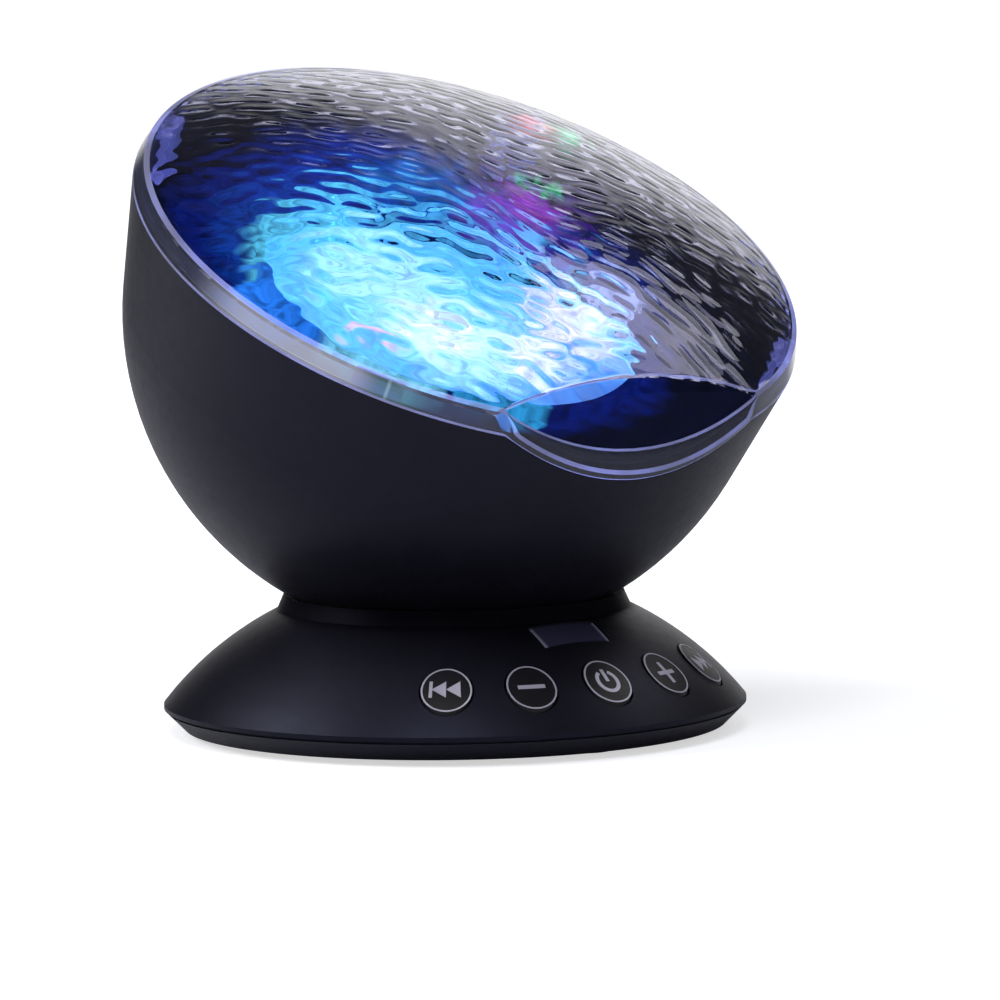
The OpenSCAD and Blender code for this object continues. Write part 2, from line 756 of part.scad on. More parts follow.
module speaker_frame() {
    basket_h = speaker_h - speaker_flange_t;
    color("#3a3b40") translate([0, 0, floor_z]) {
        difference() {
            union() {
                cylinder(r = speaker_r, h = speaker_flange_t);
                translate([0, 0, speaker_flange_t])
                    cylinder(r1 = sound_r + basket_wall, r2 = magnet_r, h = basket_h);
            }
            translate([0, 0, -over]) cylinder(r = sound_r, h = speaker_flange_t + over);
            translate([0, 0, speaker_flange_t - eps])
                cylinder(r1 = sound_r, r2 = magnet_r - basket_wall, h = basket_h - basket_wall);
        }
        translate([0, 0, speaker_h]) cylinder(r = magnet_r, h = magnet_h);
    }
}

module speaker_cone() {
    color("#26262b") translate([0, 0, floor_z + cone_lift]) difference() {
        cylinder(r1 = sound_r - fit_gap, r2 = magnet_r / 2, h = cone_h);
        translate([0, 0, -cone_t]) cylinder(r1 = sound_r - fit_gap, r2 = magnet_r / 2, h = cone_h);
    }
}

module main_board() {
    color("#1f4d33") translate([0, 0, main_board_z]) difference() {
        ring(main_board_in_r, main_board_r, board_t);
        base_screw_places() translate([0, 0, -over])
            cylinder(r = base_boss_r + board_boss_gap, h = board_t + 2 * over);
        board_screw_places() pass_hole(board_t);
    }
}

module board_screws() {
    length = main_board_top - tray_z - board_screw_floor - screw_tip_gap / 5;
    color("#9a9ca0") board_screw_places() translate([0, 0, main_board_top]) screw(length);
}

module tact_switches() {
    body_h = switch_top_z - main_board_top - switch_button_h;
    color("#2b2c30") for (k = [0 : 4])
        at_angle(key_angle(k), key_ring_r - switch_in) translate([0, 0, main_board_top]) {
            translate([-switch_w / 2, -switch_w / 2, 0]) cube([switch_w - switch_in, switch_w, body_h]);
            cylinder(r = switch_button_r, h = body_h + switch_button_h);
        }
}

module usb_socket() {
    translate([-socket_x, socket_front_y, usb_z]) rotate([90, 0, 0]) {
        color("#a9abb0") difference() {
            translate([-usb_w / 2, -usb_h / 2 - usb_wall, 0]) cube([usb_w, usb_h + usb_wall, usb_l]);
            translate([-usb_w / 2 + usb_wall, -usb_h / 2, -usb_wall])
                cube([usb_w - 2 * usb_wall, usb_h - usb_wall, usb_l]);
        }
        color("#17161b") translate([-usb_w / 2 + usb_wall + tongue_gap, -tongue_t / 2, tongue_in])
            cube([usb_w - 2 * usb_wall - 2 * tongue_gap, tongue_t, usb_l - tongue_in - usb_wall / 2]);
    }
}

module audio_jack() {
    color("#17161b") translate([socket_x, socket_front_y, jack_z]) rotate([90, 0, 0]) difference() {
        union() {
            cylinder(r = jack_barrel_r, h = jack_l);
            translate([-jack_w / 2, -jack_h / 2, jack_barrel_l])
                cube([jack_w, jack_h, jack_l - jack_barrel_l]);
        }
        translate([0, 0, -over]) cylinder(r = jack_hole_r, h = jack_l);
    }
}

module ir_receiver() {
    translate([0, -(ir_near_y + ir_far_y) / 2, main_board_top]) {
        color("#121216") translate([-receiver_w / 2, -receiver_d / 2, receiver_lift])
            cube([receiver_w, receiver_d, receiver_h]);
        color("#a9abb0") for (k = [-1 : 1])
            translate([k * leg_pitch - leg_w / 2, -leg_w / 2, 0]) cube([leg_w, leg_w, receiver_lift + eps]);
    }
}

module ir_window() {
    color("#0a0a12") intersection() {
        difference() {
            bell_form(ir_sink, floor_z);
            bell_form(bell_wall, floor_z - over);
        }
        translate([0, 0, floor_z]) linear_extrude(neck_z) ir_plan(0);
    }
}

// Tilt clamp

module seat_ring() {
    color("#d9d8d2") translate([0, 0, tilt_z]) intersection() {
        difference() {
            sphere(dish_r - pin_gap, $fn = ball_facets);
            sphere(ball_r + run_gap, $fn = ball_facets);
        }
        translate([0, 0, -big]) ring(seat_ring_in_r, seat_ring_r, big);
    }
}

// The bolt's flat neck, with a gap all round it, from the flange up
module bolt_block(gap, h) {
    translate([-bolt_neck_w / 2 - gap, -bolt_neck_l / 2 - gap, flange_top_z - eps])
        cube([bolt_neck_w + 2 * gap, bolt_neck_l + 2 * gap, h]);
}

module wire_holes() {
    for (side = [-1, 1]) translate([side * wire_hole_x, 0, 0]) cylinder(r = wire_hole_r, h = big);
}

module tilt_bolt() {
    color("#b4b6ba") difference() {
        union() {
            translate([0, 0, flange_top_z - bolt_flange_t]) cylinder(r = bolt_flange_r, h = bolt_flange_t);
            bolt_block(0, neck_top_z - flange_top_z);
            translate([0, 0, flange_top_z]) cylinder(r = bolt_r, h = bolt_top_z - flange_top_z);
        }
        wire_holes();
    }
}

module tilt_saddle() {
    color("#d9d8d2") difference() {
        intersection() {
            translate([0, 0, tilt_z]) sphere(saddle_out_r, $fn = ball_facets);
            translate([0, 0, saddle_top_z - 2 * saddle_t]) cylinder(r = saddle_r, h = 2 * saddle_t);
        }
        bolt_block(fit_gap, neck_top_z - flange_top_z + fit_gap);
        cylinder(r = bolt_r + fit_gap, h = big);
        wire_holes();
    }
}

module saddle_spring() {
    bore_r = bolt_r + fit_gap;
    color("#c2c4c8") translate([0, 0, saddle_top_z]) rotate_extrude() polygon([
        [spring_r - spring_leaf, 0], [spring_r, 0], [bore_r + spring_leaf, spring_h],
        [bore_r, spring_h], [bore_r, spring_h - spring_leaf]
    ]);
}

module saddle_nut() {
    color("#b4b6ba") translate([0, 0, nut_z]) difference() {
        cylinder(r = nut_af / 2 / cos(30), h = nut_h, $fn = 6);
        translate([0, 0, -over]) cylinder(r = bolt_r + pin_gap, h = nut_h + 2 * over);
    }
}

// Head

module boss_places() { for (a = [45 : 90 : 315]) at_angle(a, boss_ring_r) children(); }
module pillar_places() { for (a = [45 : 90 : 315]) at_angle(a, pillar_ring_r) children(); }

module deck_screw_places() {
    for (a = [deck_screw_angle, 180 - deck_screw_angle, 180 + deck_screw_angle, -deck_screw_angle])
        at_angle(a, deck_screw_ring_r) children();
}

module tab_places() {
    for (a = [front_tab_angle, rear_tab_angle, -front_tab_angle, -rear_tab_angle]) rotate(a - 90) children();
}

// Slot through the bowl that lets it tilt round the bolt
module tilt_slot() {
    rotate([0, 90, 0]) rotate(-tilt_travel - slot_slack)
        rotate_extrude(angle = tilt_travel + 2 * slot_slack)
            translate([inner_ball_r - 2 * bowl_wall, -bolt_neck_w / 2 - run_gap])
                square([4 * bowl_wall, bolt_neck_w + 2 * run_gap]);
}

module bowl_shell() {
    color("#141318") in_head() difference() {
        union() {
            difference() {
                bowl_form(ball_r, bowl_edge_z);
                bowl_form(inner_ball_r, bowl_edge_z + over);
            }
            intersection() {
                bowl_form(ball_r - bowl_wall / 2, bowl_edge_z - over);
                union() {
                    translate([0, 0, deck_low_z - ledge_h]) ring(ledge_in_r, ball_r, ledge_h);
                    boss_places() translate([0, 0, carrier_z - big]) cylinder(r = boss_r, h = big);
                    deck_screw_places() deck_boss();
                }
            }
        }
        beyond_front(notch_d);
        tilt_slot();
        boss_places() translate([0, 0, carrier_z]) pilot_hole();
        deck_screw_places() translate([0, 0, deck_low_z]) pilot_hole();
        tab_places() hook_block(run_gap);
    }
}

// Boss under the deck, running out into the wall
module deck_boss() {
    half_w = screw_head_r + deck_boss_wall;
    boss_h = screw_grip + screw_tip_gap;
    translate([0, 0, deck_low_z - boss_h]) {
        cylinder(r = half_w, h = boss_h);
        translate([0, -half_w, 0]) cube([ball_r, 2 * half_w, boss_h]);
    }
}

// Hook of a snap tab, standing out from the tab into the wall of the bowl
module hook_block(gap) {
    translate([tab_out_r - hook_root, -tab_w / 2 - gap, tab_low_z - gap])
        cube([hook_root + hook_out + gap, tab_w + 2 * gap, hook_h + 2 * gap]);
}

// Space inside the head's outer face, from the bowl's wall to the cap, drawn in by inset
module head_form(inset) {
    low_z = -bowl_edge_z / 2;
    low_r = flare_radius(ball_r - inset, low_z);
    seam_r = flare_radius(ball_r - inset, bowl_edge_z);
    translate([0, 0, low_z]) cylinder(h = bowl_edge_z - low_z, r1 = low_r, r2 = seam_r);
    translate([0, 0, bowl_edge_z]) cylinder(h = skirt_h, r1 = seam_r, r2 = skirt_top_r - inset);
    intersection() {
        translate([0, 0, cap_z]) sphere(cap_r - inset, $fn = dome_facets);
        translate([0, 0, skirt_top_z]) cylinder(r = ball_r, h = big);
    }
}

module dome_cover() {
    color("#c9d2ea", 0.35) in_head() {
        difference() {
            head_form(0);
            difference() {
                head_form(dome_wall);
                beyond_front(window_back_d);
            }
            difference() {
                translate([0, 0, bowl_edge_z - big]) cylinder(r = big, h = big);
                beyond_front(notch_d);
                intersection() {
                    head_form(dome_wall + run_gap);
                    beyond_front(window_back_d);
                }
            }
            beyond_front(window_d);
            window_eye();
        }
        tab_places() snap_tab();
    }
}

// Eye-shaped window sunk into the front face
module window_eye() {
    rotate([window_angle, 0, 0]) translate([0, eye_r - eye_drop, window_d - window_depth])
        cylinder(r = eye_r, h = big);
}

module snap_tab() {
    root_l = edge_in_r - tab_out_r + dome_wall / 2;
    translate([tab_out_r - tab_t, -tab_w / 2, tab_low_z]) cube([tab_t, tab_w, tab_l + tab_root]);
    translate([tab_out_r - eps, -tab_w / 2, bowl_edge_z]) cube([root_l, tab_w, tab_root]);
    hook_block(0);
}

module inner_deck() {
    color("#101014") in_head() difference() {
        union() {
            translate([0, 0, deck_low_z]) ring(aperture_r, deck_r, deck_t);
            translate([0, 0, deck_z - eps]) ring(aperture_r, aperture_r + collar_t, collar_h + eps);
        }
        deck_screw_places() translate([0, 0, deck_low_z]) pass_hole(deck_t);
    }
}

module deck_screws() {
    color("#8b8d92") in_head() deck_screw_places() translate([0, 0, deck_z])
        screw(deck_t + screw_grip - screw_tip_gap);
}

// Light carrier: ring, four arms, axle hub, lamp pillars and the motor's pad
module light_carrier() {
    arm_l = carrier_ring_in_r + carrier_band / 4;
    color("#1b1b20") in_head() difference() {
        union() {
            translate([0, 0, carrier_z]) {
                ring(carrier_ring_in_r, carrier_ring_r, carrier_t);
                for (a = [45 : 90 : 315]) rotate(a) translate([0, -arm_w / 2, 0])
                    cube([arm_l, arm_w, carrier_t]);
                translate([0, gear_distance, 0]) cylinder(r = motor_r + motor_pad, h = carrier_t);
                cylinder(r = hub_r + carrier_hub_wall, h = hub_low_z - carrier_z - fit_gap);
            }
            pillar_places() translate([0, 0, led_board_top]) cylinder(r = pillar_r, h = pillar_l + eps);
        }
        translate([0, 0, carrier_z - over]) {
            cylinder(r = axle_r + grip_gap, h = big);
            translate([0, gear_distance, 0])
                cylinder(r = shaft_r + nose_wall + fit_gap, h = carrier_t + 2 * over);
            motor_screw_places() cylinder(r = motor_screw_r + fit_gap, h = carrier_t + 2 * over);
        }
        boss_places() translate([0, 0, carrier_z]) pass_hole(carrier_t);
        pillar_places() translate([0, 0, led_board_top]) rotate([180, 0, 0]) pilot_hole();
    }
}

module carrier_screws() {
    color("#8b8d92") in_head() boss_places() translate([0, 0, carrier_top_z])
        screw(carrier_t + screw_grip - screw_tip_gap);
}

module led_board() {
    color("#e8e8e4") in_head() translate([0, 0, led_board_z]) difference() {
        cylinder(r = led_board_r, h = board_t);
        pillar_places() pass_hole(board_t);
    }
}

module led_lamp() {
    cylinder(r = led_r + led_flange_w, h = led_flange_h);
    cylinder(r = led_r, h = led_h);
    translate([0, 0, led_h]) sphere(led_r);
}

module led_lamps() {
    color("#dff4ff") in_head() translate([0, 0, led_board_top]) {
        for (k = [1 : led_outer_count]) at_angle(360 * k / led_outer_count, led_outer_r) led_lamp();
        for (k = [1 : led_inner_count]) at_angle(360 * k / led_inner_count, led_inner_r) led_lamp();
    }
}

module led_screws() {
    color("#8b8d92") in_head() pillar_places() translate([0, 0, led_board_z]) rotate([180, 0, 0])
        screw(board_t + screw_grip - screw_tip_gap);
}

// Plug of the wires from the base, under the rear half of the lamp board
module head_plug() {
    color("#e5e2d6") in_head() translate([-plug_w / 2, plug_y, led_board_z - plug_h])
        cube([plug_w, plug_d, plug_h]);
}

// Wave drive

module motor_screw_places() {
    for (side = [-1, 1]) translate([side * motor_screw_x, gear_distance, 0]) children();
}

module gear_motor() {
    color("#b9bbc0") in_head() difference() {
        translate([0, gear_distance, carrier_z]) {
            translate([0, 0, -motor_l]) cylinder(r = motor_r, h = motor_l);
            cylinder(r = shaft_r + nose_wall, h = nose_h);
        }
        translate([0, gear_distance, carrier_z - motor_l / 2]) cylinder(r = shaft_r + pin_gap, h = motor_l);
        motor_screw_places() translate([0, 0, carrier_z - 1.5 * motor_screw_grip])
            cylinder(r = motor_screw_r + grip_gap, h = 2 * motor_screw_grip);
    }
}

module motor_screws() {
    shank_l = carrier_t + motor_screw_grip;
    color("#8b8d92") in_head() motor_screw_places() translate([0, 0, carrier_top_z]) {
        cylinder(r = motor_screw_head_r, h = motor_screw_head_h);
        translate([0, 0, -shank_l]) cylinder(r = motor_screw_r, h = shank_l + eps);
    }
}

module wheel_axle() {
    color("#c2c4c8") in_head() translate([0, 0, carrier_z]) cylinder(r = axle_r, h = axle_top_z - carrier_z);
}

module axle_clip() {
    color("#8b8d92") in_head() translate([0, 0, clip_z]) ring(axle_r + grip_gap, axle_r + clip_w, clip_t);
}

module wave_ring() {
    color("#e9e9e6") in_head() difference() {
        translate([0, 0, gear_low_z]) rotate(90 + 180 / wheel_teeth)
            linear_extrude(gear_face) gear_outline(wheel_teeth);
        translate([0, 0, lens_z]) cylinder(r = lens_seat_r, h = gear_face);
        translate([0, 0, gear_low_z - over]) cylinder(r = lens_seat_r - lens_lip, h = gear_face);
    }
}

// Lens with a row of round waves across its top, and its hub
module wave_lens() {
    wave_r = wave_pitch * wave_pitch / 8 / wave_depth + wave_depth / 2;
    side_waves = floor(lens_r / wave_pitch);
    color("#bfe6ff", 0.5) in_head() difference() {
        union() {
            difference() {
                translate([0, 0, lens_z]) cylinder(r = lens_r, h = lens_t);
                for (k = [-side_waves : side_waves])
                    translate([k * wave_pitch, 0, lens_z + lens_t - wave_depth + wave_r])
                        rotate([90, 0, 0]) cylinder(r = wave_r - eps, h = big, center = true);
            }
            translate([0, 0, hub_low_z]) cylinder(r = hub_r, h = hub_top_z - hub_low_z);
        }
        translate([0, 0, hub_low_z - over]) cylinder(r = axle_r + pin_gap, h = big);
    }
}

module drive_pinion() {
    shaft_z = carrier_z - motor_l / 2 + over;
    color("#d8d2bc") in_head() translate([0, gear_distance, 0]) {
        translate([0, 0, gear_low_z - pinion_over]) rotate(-90)
            linear_extrude(gear_face + 2 * pinion_over) gear_outline(pinion_teeth);
        translate([0, 0, shaft_z]) cylinder(r = shaft_r, h = gear_top_z - shaft_z);
    }
}

// Keys

module key(k) {
    color("#1a191f") at_angle(key_angle(k), 0) {
        intersection() {
            bell_form(-key_proud, key_low_z);
            translate([key_ring_r, 0, key_low_z]) linear_extrude(neck_z) key_plan(0);
        }
        for (side_y = [key_half_w - lug_root, -key_half_w - lug_w])
            translate([key_ring_r - lug_d, side_y, key_low_z]) cube([lug_d, lug_w + lug_root, lug_h]);
    }
}

module key_previous() { key(0); }
module key_minus() { key(1); }
module key_power() { key(2); }
module key_plus() { key(3); }
module key_next() { key(4); }

base_tray();
base_bell();
rubber_feet();
base_screws();
speaker_frame();
speaker_cone();
main_board();
board_screws();
tact_switches();
usb_socket();
audio_jack();
ir_receiver();
ir_window();
seat_ring();
tilt_bolt();
tilt_saddle();
saddle_spring();
saddle_nut();
bowl_shell();
dome_cover();
inner_deck();
deck_screws();
light_carrier();
carrier_screws();
led_board();
led_lamps();
led_screws();
head_plug();
gear_motor();
motor_screws();
wheel_axle();
axle_clip();
wave_ring();
wave_lens();
drive_pinion();
key_previous();
key_minus();
key_power();
key_plus();
key_next();
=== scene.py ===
"""Looks of the ocean wave projector, built round its CAD frame.

The solids come from the frame. This file adds the rippled clear dome and the printed key marks,
gives every solid its finish, lights the wave lens from inside, and sets the stage and the camera.
"""

import json
import math

import bmesh
import bpy
import numpy as np
from mathutils import Matrix, Vector


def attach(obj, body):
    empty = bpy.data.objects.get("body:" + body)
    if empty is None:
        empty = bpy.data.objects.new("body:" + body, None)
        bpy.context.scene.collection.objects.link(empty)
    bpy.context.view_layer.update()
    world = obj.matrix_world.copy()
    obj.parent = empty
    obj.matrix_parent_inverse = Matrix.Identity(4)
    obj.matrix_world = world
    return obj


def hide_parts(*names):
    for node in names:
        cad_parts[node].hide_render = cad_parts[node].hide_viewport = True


bl_info = {
    "name": "Ocean wave projector",
    "version": (1, 0, 0),
    "blender": (4, 5, 0),
    "location": "3D View > Sidebar > Projector",
    "description": "Rippled dome, key marks, finishes and stage for the ocean wave projector",
    "category": "Object",
}

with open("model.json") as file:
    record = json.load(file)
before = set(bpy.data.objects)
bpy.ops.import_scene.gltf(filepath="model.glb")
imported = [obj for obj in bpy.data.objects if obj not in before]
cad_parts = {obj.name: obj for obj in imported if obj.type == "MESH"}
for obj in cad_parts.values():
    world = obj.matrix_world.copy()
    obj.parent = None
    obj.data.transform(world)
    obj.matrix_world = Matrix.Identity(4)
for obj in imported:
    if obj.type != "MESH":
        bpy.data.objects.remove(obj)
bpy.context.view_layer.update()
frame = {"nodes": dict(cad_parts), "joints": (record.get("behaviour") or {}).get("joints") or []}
JOINTS = {joint["name"]: joint for joint in frame["joints"]}

# Metres in a millimetre: every size of a piece is in millimetres until its points are made
MM = 0.001

# The head's tilt centre and its tilt, taken from the joints
TILT_Z = JOINTS["head_tilt"]["pos_m"][2] / MM
TILT = math.atan2(-JOINTS["wave_spin"]["axis"][1], JOINTS["wave_spin"]["axis"][2])

# The bowl's flared wall, the clear skirt and the cap of the dome, in the head's own frame
BALL_R = 60.0
FLARE = math.radians(10)
EDGE_Z = 11.8
SKIRT_H = 3.8
SKIRT_LEAN = 1.1
DOME_RISE = 13.6
DOME_WALL = 2.0
RUN_GAP = 0.3
EDGE_R = (BALL_R + EDGE_Z * math.sin(FLARE)) / math.cos(FLARE)
SKIRT_TOP_R = EDGE_R - SKIRT_LEAN
SKIRT_TOP_Z = EDGE_Z + SKIRT_H
CAP_R = (SKIRT_TOP_R**2 + DOME_RISE**2) / (2 * DOME_RISE)
CAP_Z = SKIRT_TOP_Z + DOME_RISE - CAP_R

# The flat front of the dome: the lean of its normal, the upward and forward shares of that normal, its
# planes' distances from the tilt centre, and the radius and drop of the eye's circle in it
WINDOW_LEAN = math.radians(58)
WINDOW_RISE = math.cos(WINDOW_LEAN)
WINDOW_REACH = math.sin(WINDOW_LEAN)
WINDOW_D = 55.2
EYE_D = 54.6
NOTCH_D = 54.2
BACK_D = 52.6
EYE_R = 52.0
EYE_DROP = 23.8

# The dome's rounded edges, each with its size and its rows, and the most of a side that one may take
FOOT_ROUND = (0.45, 6)
TOP_ROUND = (0.8, 6)
EYE_ROUND = (0.45, 4)
BROW_ROUND = (0.4, 4)
ROUND_SHARE = 0.45
# Where the cap's own rows start, in from the skirt's corner
RIM_IN = 0.8
# Where the bowl's edge lies closer than this to the foot's corner, the wall runs straight past it
BAND_MIN = 0.6
# How far the dome is drawn in, so that its facets stay within the solid's box
DRAWN_IN = 0.01

# The dome's grid: columns round it, how far they crowd to the front, where the window's ends need them,
# rows on the outer and the inner cap, and steps in the search for the window's edge
DOME_COLUMNS = 480
FRONT_CROWD = 0.32
CAP_ROWS = 94
INNER_ROWS = 70
EYE_STEPS = 400
# The dome's finishes, in the order of its material slots
CAP_SLOT, SKIRT_SLOT, WINDOW_SLOT, EDGE_SLOT = range(4)

# The waves that add up to the ripples: their number, how far their headings fan out to each side, their
# lengths as shares of the ripple spacing, and how hard crests and troughs are flattened
WAVE_COUNT = 14
WAVE_FAN = math.radians(58)
WAVE_SHORT = 0.72
WAVE_SPREAD = 0.8
WAVE_PRESS = 0.85
# Steps and starts that scatter the waves' headings, lengths and phases
FAN_SCATTER = (0.7549, 0.21)
LENGTH_SCATTER = (0.6180, 0.37)
PHASE_SCATTER = (0.5698, 0.11)
# The slow waves that bend the ripples: their height, the run of a radian, and a start or a second run
SWAY_H, SWAY_RUN, SWAY_START = 1.6, 9.0, 0.7
SKEW_H, SKEW_RUN, SKEW_ACROSS = 1.1, 5.3, 17.0
PULL_H, PULL_RUN, PULL_START = 2.2, 8.0, 1.9
# Width over which the ripples fade out to the cap's edge
RIPPLE_FADE = 2.0
# Share of the outer ripples' depth that shows on the inside of the cap
INNER_SHARE = 0.35

# The snap tabs of the dome
TAB_ANGLES = (48, 138, -48, -138)
TAB_W = 9.0
TAB_T = 1.4
TAB_L = 7.4
TAB_ROOT = 1.6
TAB_SUNK = 0.1
TAB_ROUND = 0.15
HOOK_OUT = 0.8
HOOK_H = 1.8

# The bell of the base: one arc from the foot of the neck's lip to the rim, and the ring of keys on it
RIM_R, RIM_Z = 53.8, 5.5
LIP_R, LIP_Z = 32.7, 22.45
BELL_SWELL = 1.5
KEY_RING_R = 46.8
KEY_STEP = math.radians(18.6)
KEY_PROUD = 0.25
KEY_NAMES = ("previous", "minus", "power", "plus", "next")
# Heights between which the bell's gloss is turned down on its lip: painted shade for the bowl's shadow
# over the neck
LIP_SHADE_LOW, LIP_SHADE_HIGH = 21.6, 22.4
# Levels of the gloss on satin black and on the lip in painted shade
SATIN_LEVEL, LIP_SHADE_LEVEL = 0.3, 0.03
# Distances from the remote window's middle between which its ends turn paler, as painted highlights on its
# edges
HIGHLIGHT_FROM, HIGHLIGHT_TO = 6.3, 6.9

# How far the ink goes into the key
INK_SUNK = 0.1
# The printed signs: half lengths of their bars, the power sign's open ring and bar, the skip arrows,
# and shares of the sign stroke that some bars have as their width
MINUS_HALF = 2.5
PLUS_HALF_W, PLUS_HALF_H = 2.3, 2.5
POWER_HALF_W, POWER_HALF_H = 2.0, 2.3
POWER_START, POWER_END = 120, 420
POWER_LOW, POWER_TOP = -0.1, 2.75
POWER_THIN = 0.85
SKIP_BAR_X, SKIP_BAR_HALF = 2.75, 1.85
SKIP_THIN = 0.7
ARROW_BACK, ARROW_TIP = 0.05, 2.5
ARROW_W, ARROW_TIP_W = 3.7, 0.12
RING_STEPS = 96

# Light in the lens, on the deck, in the ripples and in the skirt, each patch laid over those before it:
# its place across the head's axis, its radius and its colour
LENS_PATCHES = (
    (0, 8, 40, "#3ab4fb"),
    (-2, 10, 32, "#58d4fb"),
    (-2, 20, 20, "#abf4fb"),
    (2, -4, 20, "#b4faff"),
    (0, 0, 11, "#f4ffff"),
    (14, -10, 10, "#eefcff"),
    (30, 2, 14, "#dcdcfb"),
    (-15, 1, 5, "#eac0f8"),
    (-24, 22, 11, "#48b0fb"),
    # The last patch is painted shade, a dark navy over the lens's front
    (22, -36, 24, "#081446"),
)
DECK_PATCHES = (
    (-4, 6, 52, "#071a66"),
    (-3, 8, 42, "#0b3a90"),
    (-2, 3, 38, "#5fdcf4"),
    (-38, 0, 13, "#2a86f0"),
    (-27, -20, 14, "#7fe4fa"),
    (-10, -31, 10, "#2f9fd0"),
    (31, -3, 9, "#9ab0e0"),
    (40, 33, 14, "#3a1a6e"),
)
RIPPLE_PATCHES = (
    (-24, 4, 28, "#0d1f70"),
    (-16, 2, 14, "#14509a"),
    (-4, -15, 15, "#5548a8"),
    (2, -9, 9, "#7a2f9c"),
    (9, -2, 4.5, "#2f9b66"),
    (28, 27, 6, "#a8555c"),
    (33, 23, 6, "#5fa682"),
    (8, -27, 15, "#0a1550"),
)
SKIRT_PATCHES = (
    (-57, -27, 26, "#84868f"),
    (-44, -44.5, 9, "#2c4f50"),
    (-36, -51, 10, "#0e1830"),
)
# The mould line up the skirt, drawn as a painted highlight: the turn from the front of its plane through
# the head's axis, its half width and that of its full core, and how much of the highlight's pale tone it
# takes
SEAM_TURN = math.radians(-46)
SEAM_HALF, SEAM_CORE = 0.45, 0.15
SEAM_HIGHLIGHT_SHARE = 0.25

# Clear acrylic bends light by this index, wherever it is used
ACRYLIC_IOR = 1.49
# Noise lies mostly between these values
NOISE_LOW, NOISE_HIGH = 0.3, 0.7
# A textured surface: the size of its colour patches, the grains in a patch of gloss, how far the gloss
# strays to each side, and the strength of its bumps
TONE_MM = 9.0
GLOSS_GRAINS = 6
GLOSS_STRAY = 0.025
BUMP_STRENGTH = 0.6

# The stage is in metres. The white screen that gloss and glass show: the way to its middle, the cosines
# between which its sides fade, the slope of its upper edge, which is lower on the left, the heights on
# that slope between which it fades, and how bright it is beyond its sides and its top
SCREEN_WAY = (0.618, 0.782, 0)
SCREEN_SIDE_OUT, SCREEN_SIDE_IN = 0.87, 0.98
SCREEN_TOP = (-0.734, 0.52, 1)
SCREEN_TOP_IN, SCREEN_TOP_OUT = 0.4, 0.68
SCREEN_BESIDE = 0.05
SCREEN_ABOVE = 0.06
# Strength of the soft light from all round
SOFT_LIGHT = 0.32
# The floor, the distances over which it turns white to the camera and to gloss and glass, and how white
# it already is to the camera beside the object
FLOOR_HALF = 3.0
FLOOR_NEAR, FLOOR_WHITE = 0.1, 0.3
FLOOR_DARK, FLOOR_BRIGHT = 0.2, 0.5
FLOOR_LIFT = 0.6
# The soft lamps: name, place, side and watts, all aimed at one point on the base's axis
LAMPS = (
    ("lamp_left", (-0.8, 0.46, 0.76), 0.6, 7.5),
    ("lamp_right", (0.63, -0.1, 0.76), 0.34, 0.8),
    ("lamp_front", (-0.5, -0.52, 1.1), 0.5, 5.5),
)
LAMP_AIM_Z = 0.06
SENSOR_MM = 36.0

# A new piece's points closer than the first, in metres, are merged, and edges shorter than the
# second are dissolved
MERGE_D = 2e-6
SLIVER_D = 1e-6
# Edges that bend by more than this are sharp
SHARP_ANGLE = math.radians(27)
# The least length, in millimetres, and the least lean of the front plane that are divided by
TINY = 1e-6
LEAN_MIN = 1e-3

# A box: each corner's coordinates, low or high, and its faces, turned outwards
BOX_CORNERS = np.array(
    [[0, 0, 0], [1, 0, 0], [1, 1, 0], [0, 1, 0], [0, 0, 1], [1, 0, 1], [1, 1, 1], [0, 1, 1]]
)
BOX_FACES = np.array(
    [[0, 3, 2, 1], [4, 5, 6, 7], [0, 1, 5, 4], [1, 2, 6, 5], [2, 3, 7, 6], [3, 0, 4, 7]]
)


def linear(hex_colour):
    """Linear RGBA of an sRGB hex colour."""
    srgb = np.array([int(hex_colour[k : k + 2], 16) for k in (1, 3, 5)]) / 255
    low = srgb / 12.92
    high = ((srgb + 0.055) / 1.055) ** 2.4
    return (*np.where(srgb <= 0.04045, low, high).tolist(), 1.0)


class DomeSizes(bpy.types.PropertyGroup):
    """Sizes of the water relief on the dome, in millimetres."""

    depth: bpy.props.FloatProperty(
        name="Ripple depth", description="Height of the ripples from trough to crest",
        default=0.15, min=0, max=1,
    )
    across: bpy.props.FloatProperty(
        name="Ripple spacing", description="Mean distance from crest to crest",
        default=4.4, min=3, max=12,
    )
    stretch: bpy.props.FloatProperty(
        name="Ripple stretch", description="Length of a ripple over its width",
        default=1.2, min=1, max=4,
    )
    heading: bpy.props.FloatProperty(
        name="Ripple heading",
        description="Direction in which the ripples run, from the right-hand side",
        default=math.radians(-41), subtype="ANGLE",
    )


class MarkSizes(bpy.types.PropertyGroup):
    """Sizes of the printed marks on the keys, in millimetres."""

    ring_w: bpy.props.FloatProperty(
        name="Ring width", description="Half the width of the printed ring",
        default=4.36, min=3, max=4.45,
    )
    ring_h: bpy.props.FloatProperty(
        name="Ring height", description="Half the height of the printed ring up the slope",
        default=4.8, min=3, max=4.9,
    )
    line: bpy.props.FloatProperty(
        name="Ring line", description="Width of the printed ring",
        default=0.3, min=0.1, max=0.6,
    )
    stroke: bpy.props.FloatProperty(
        name="Sign stroke", description="Width of the bars of the signs",
        default=0.85, min=0.3, max=1.2,
    )
    thickness: bpy.props.FloatProperty(
        name="Ink thickness", description="How far the ink stands out of the key",
        default=0.05, min=0.02, max=0.1,
    )


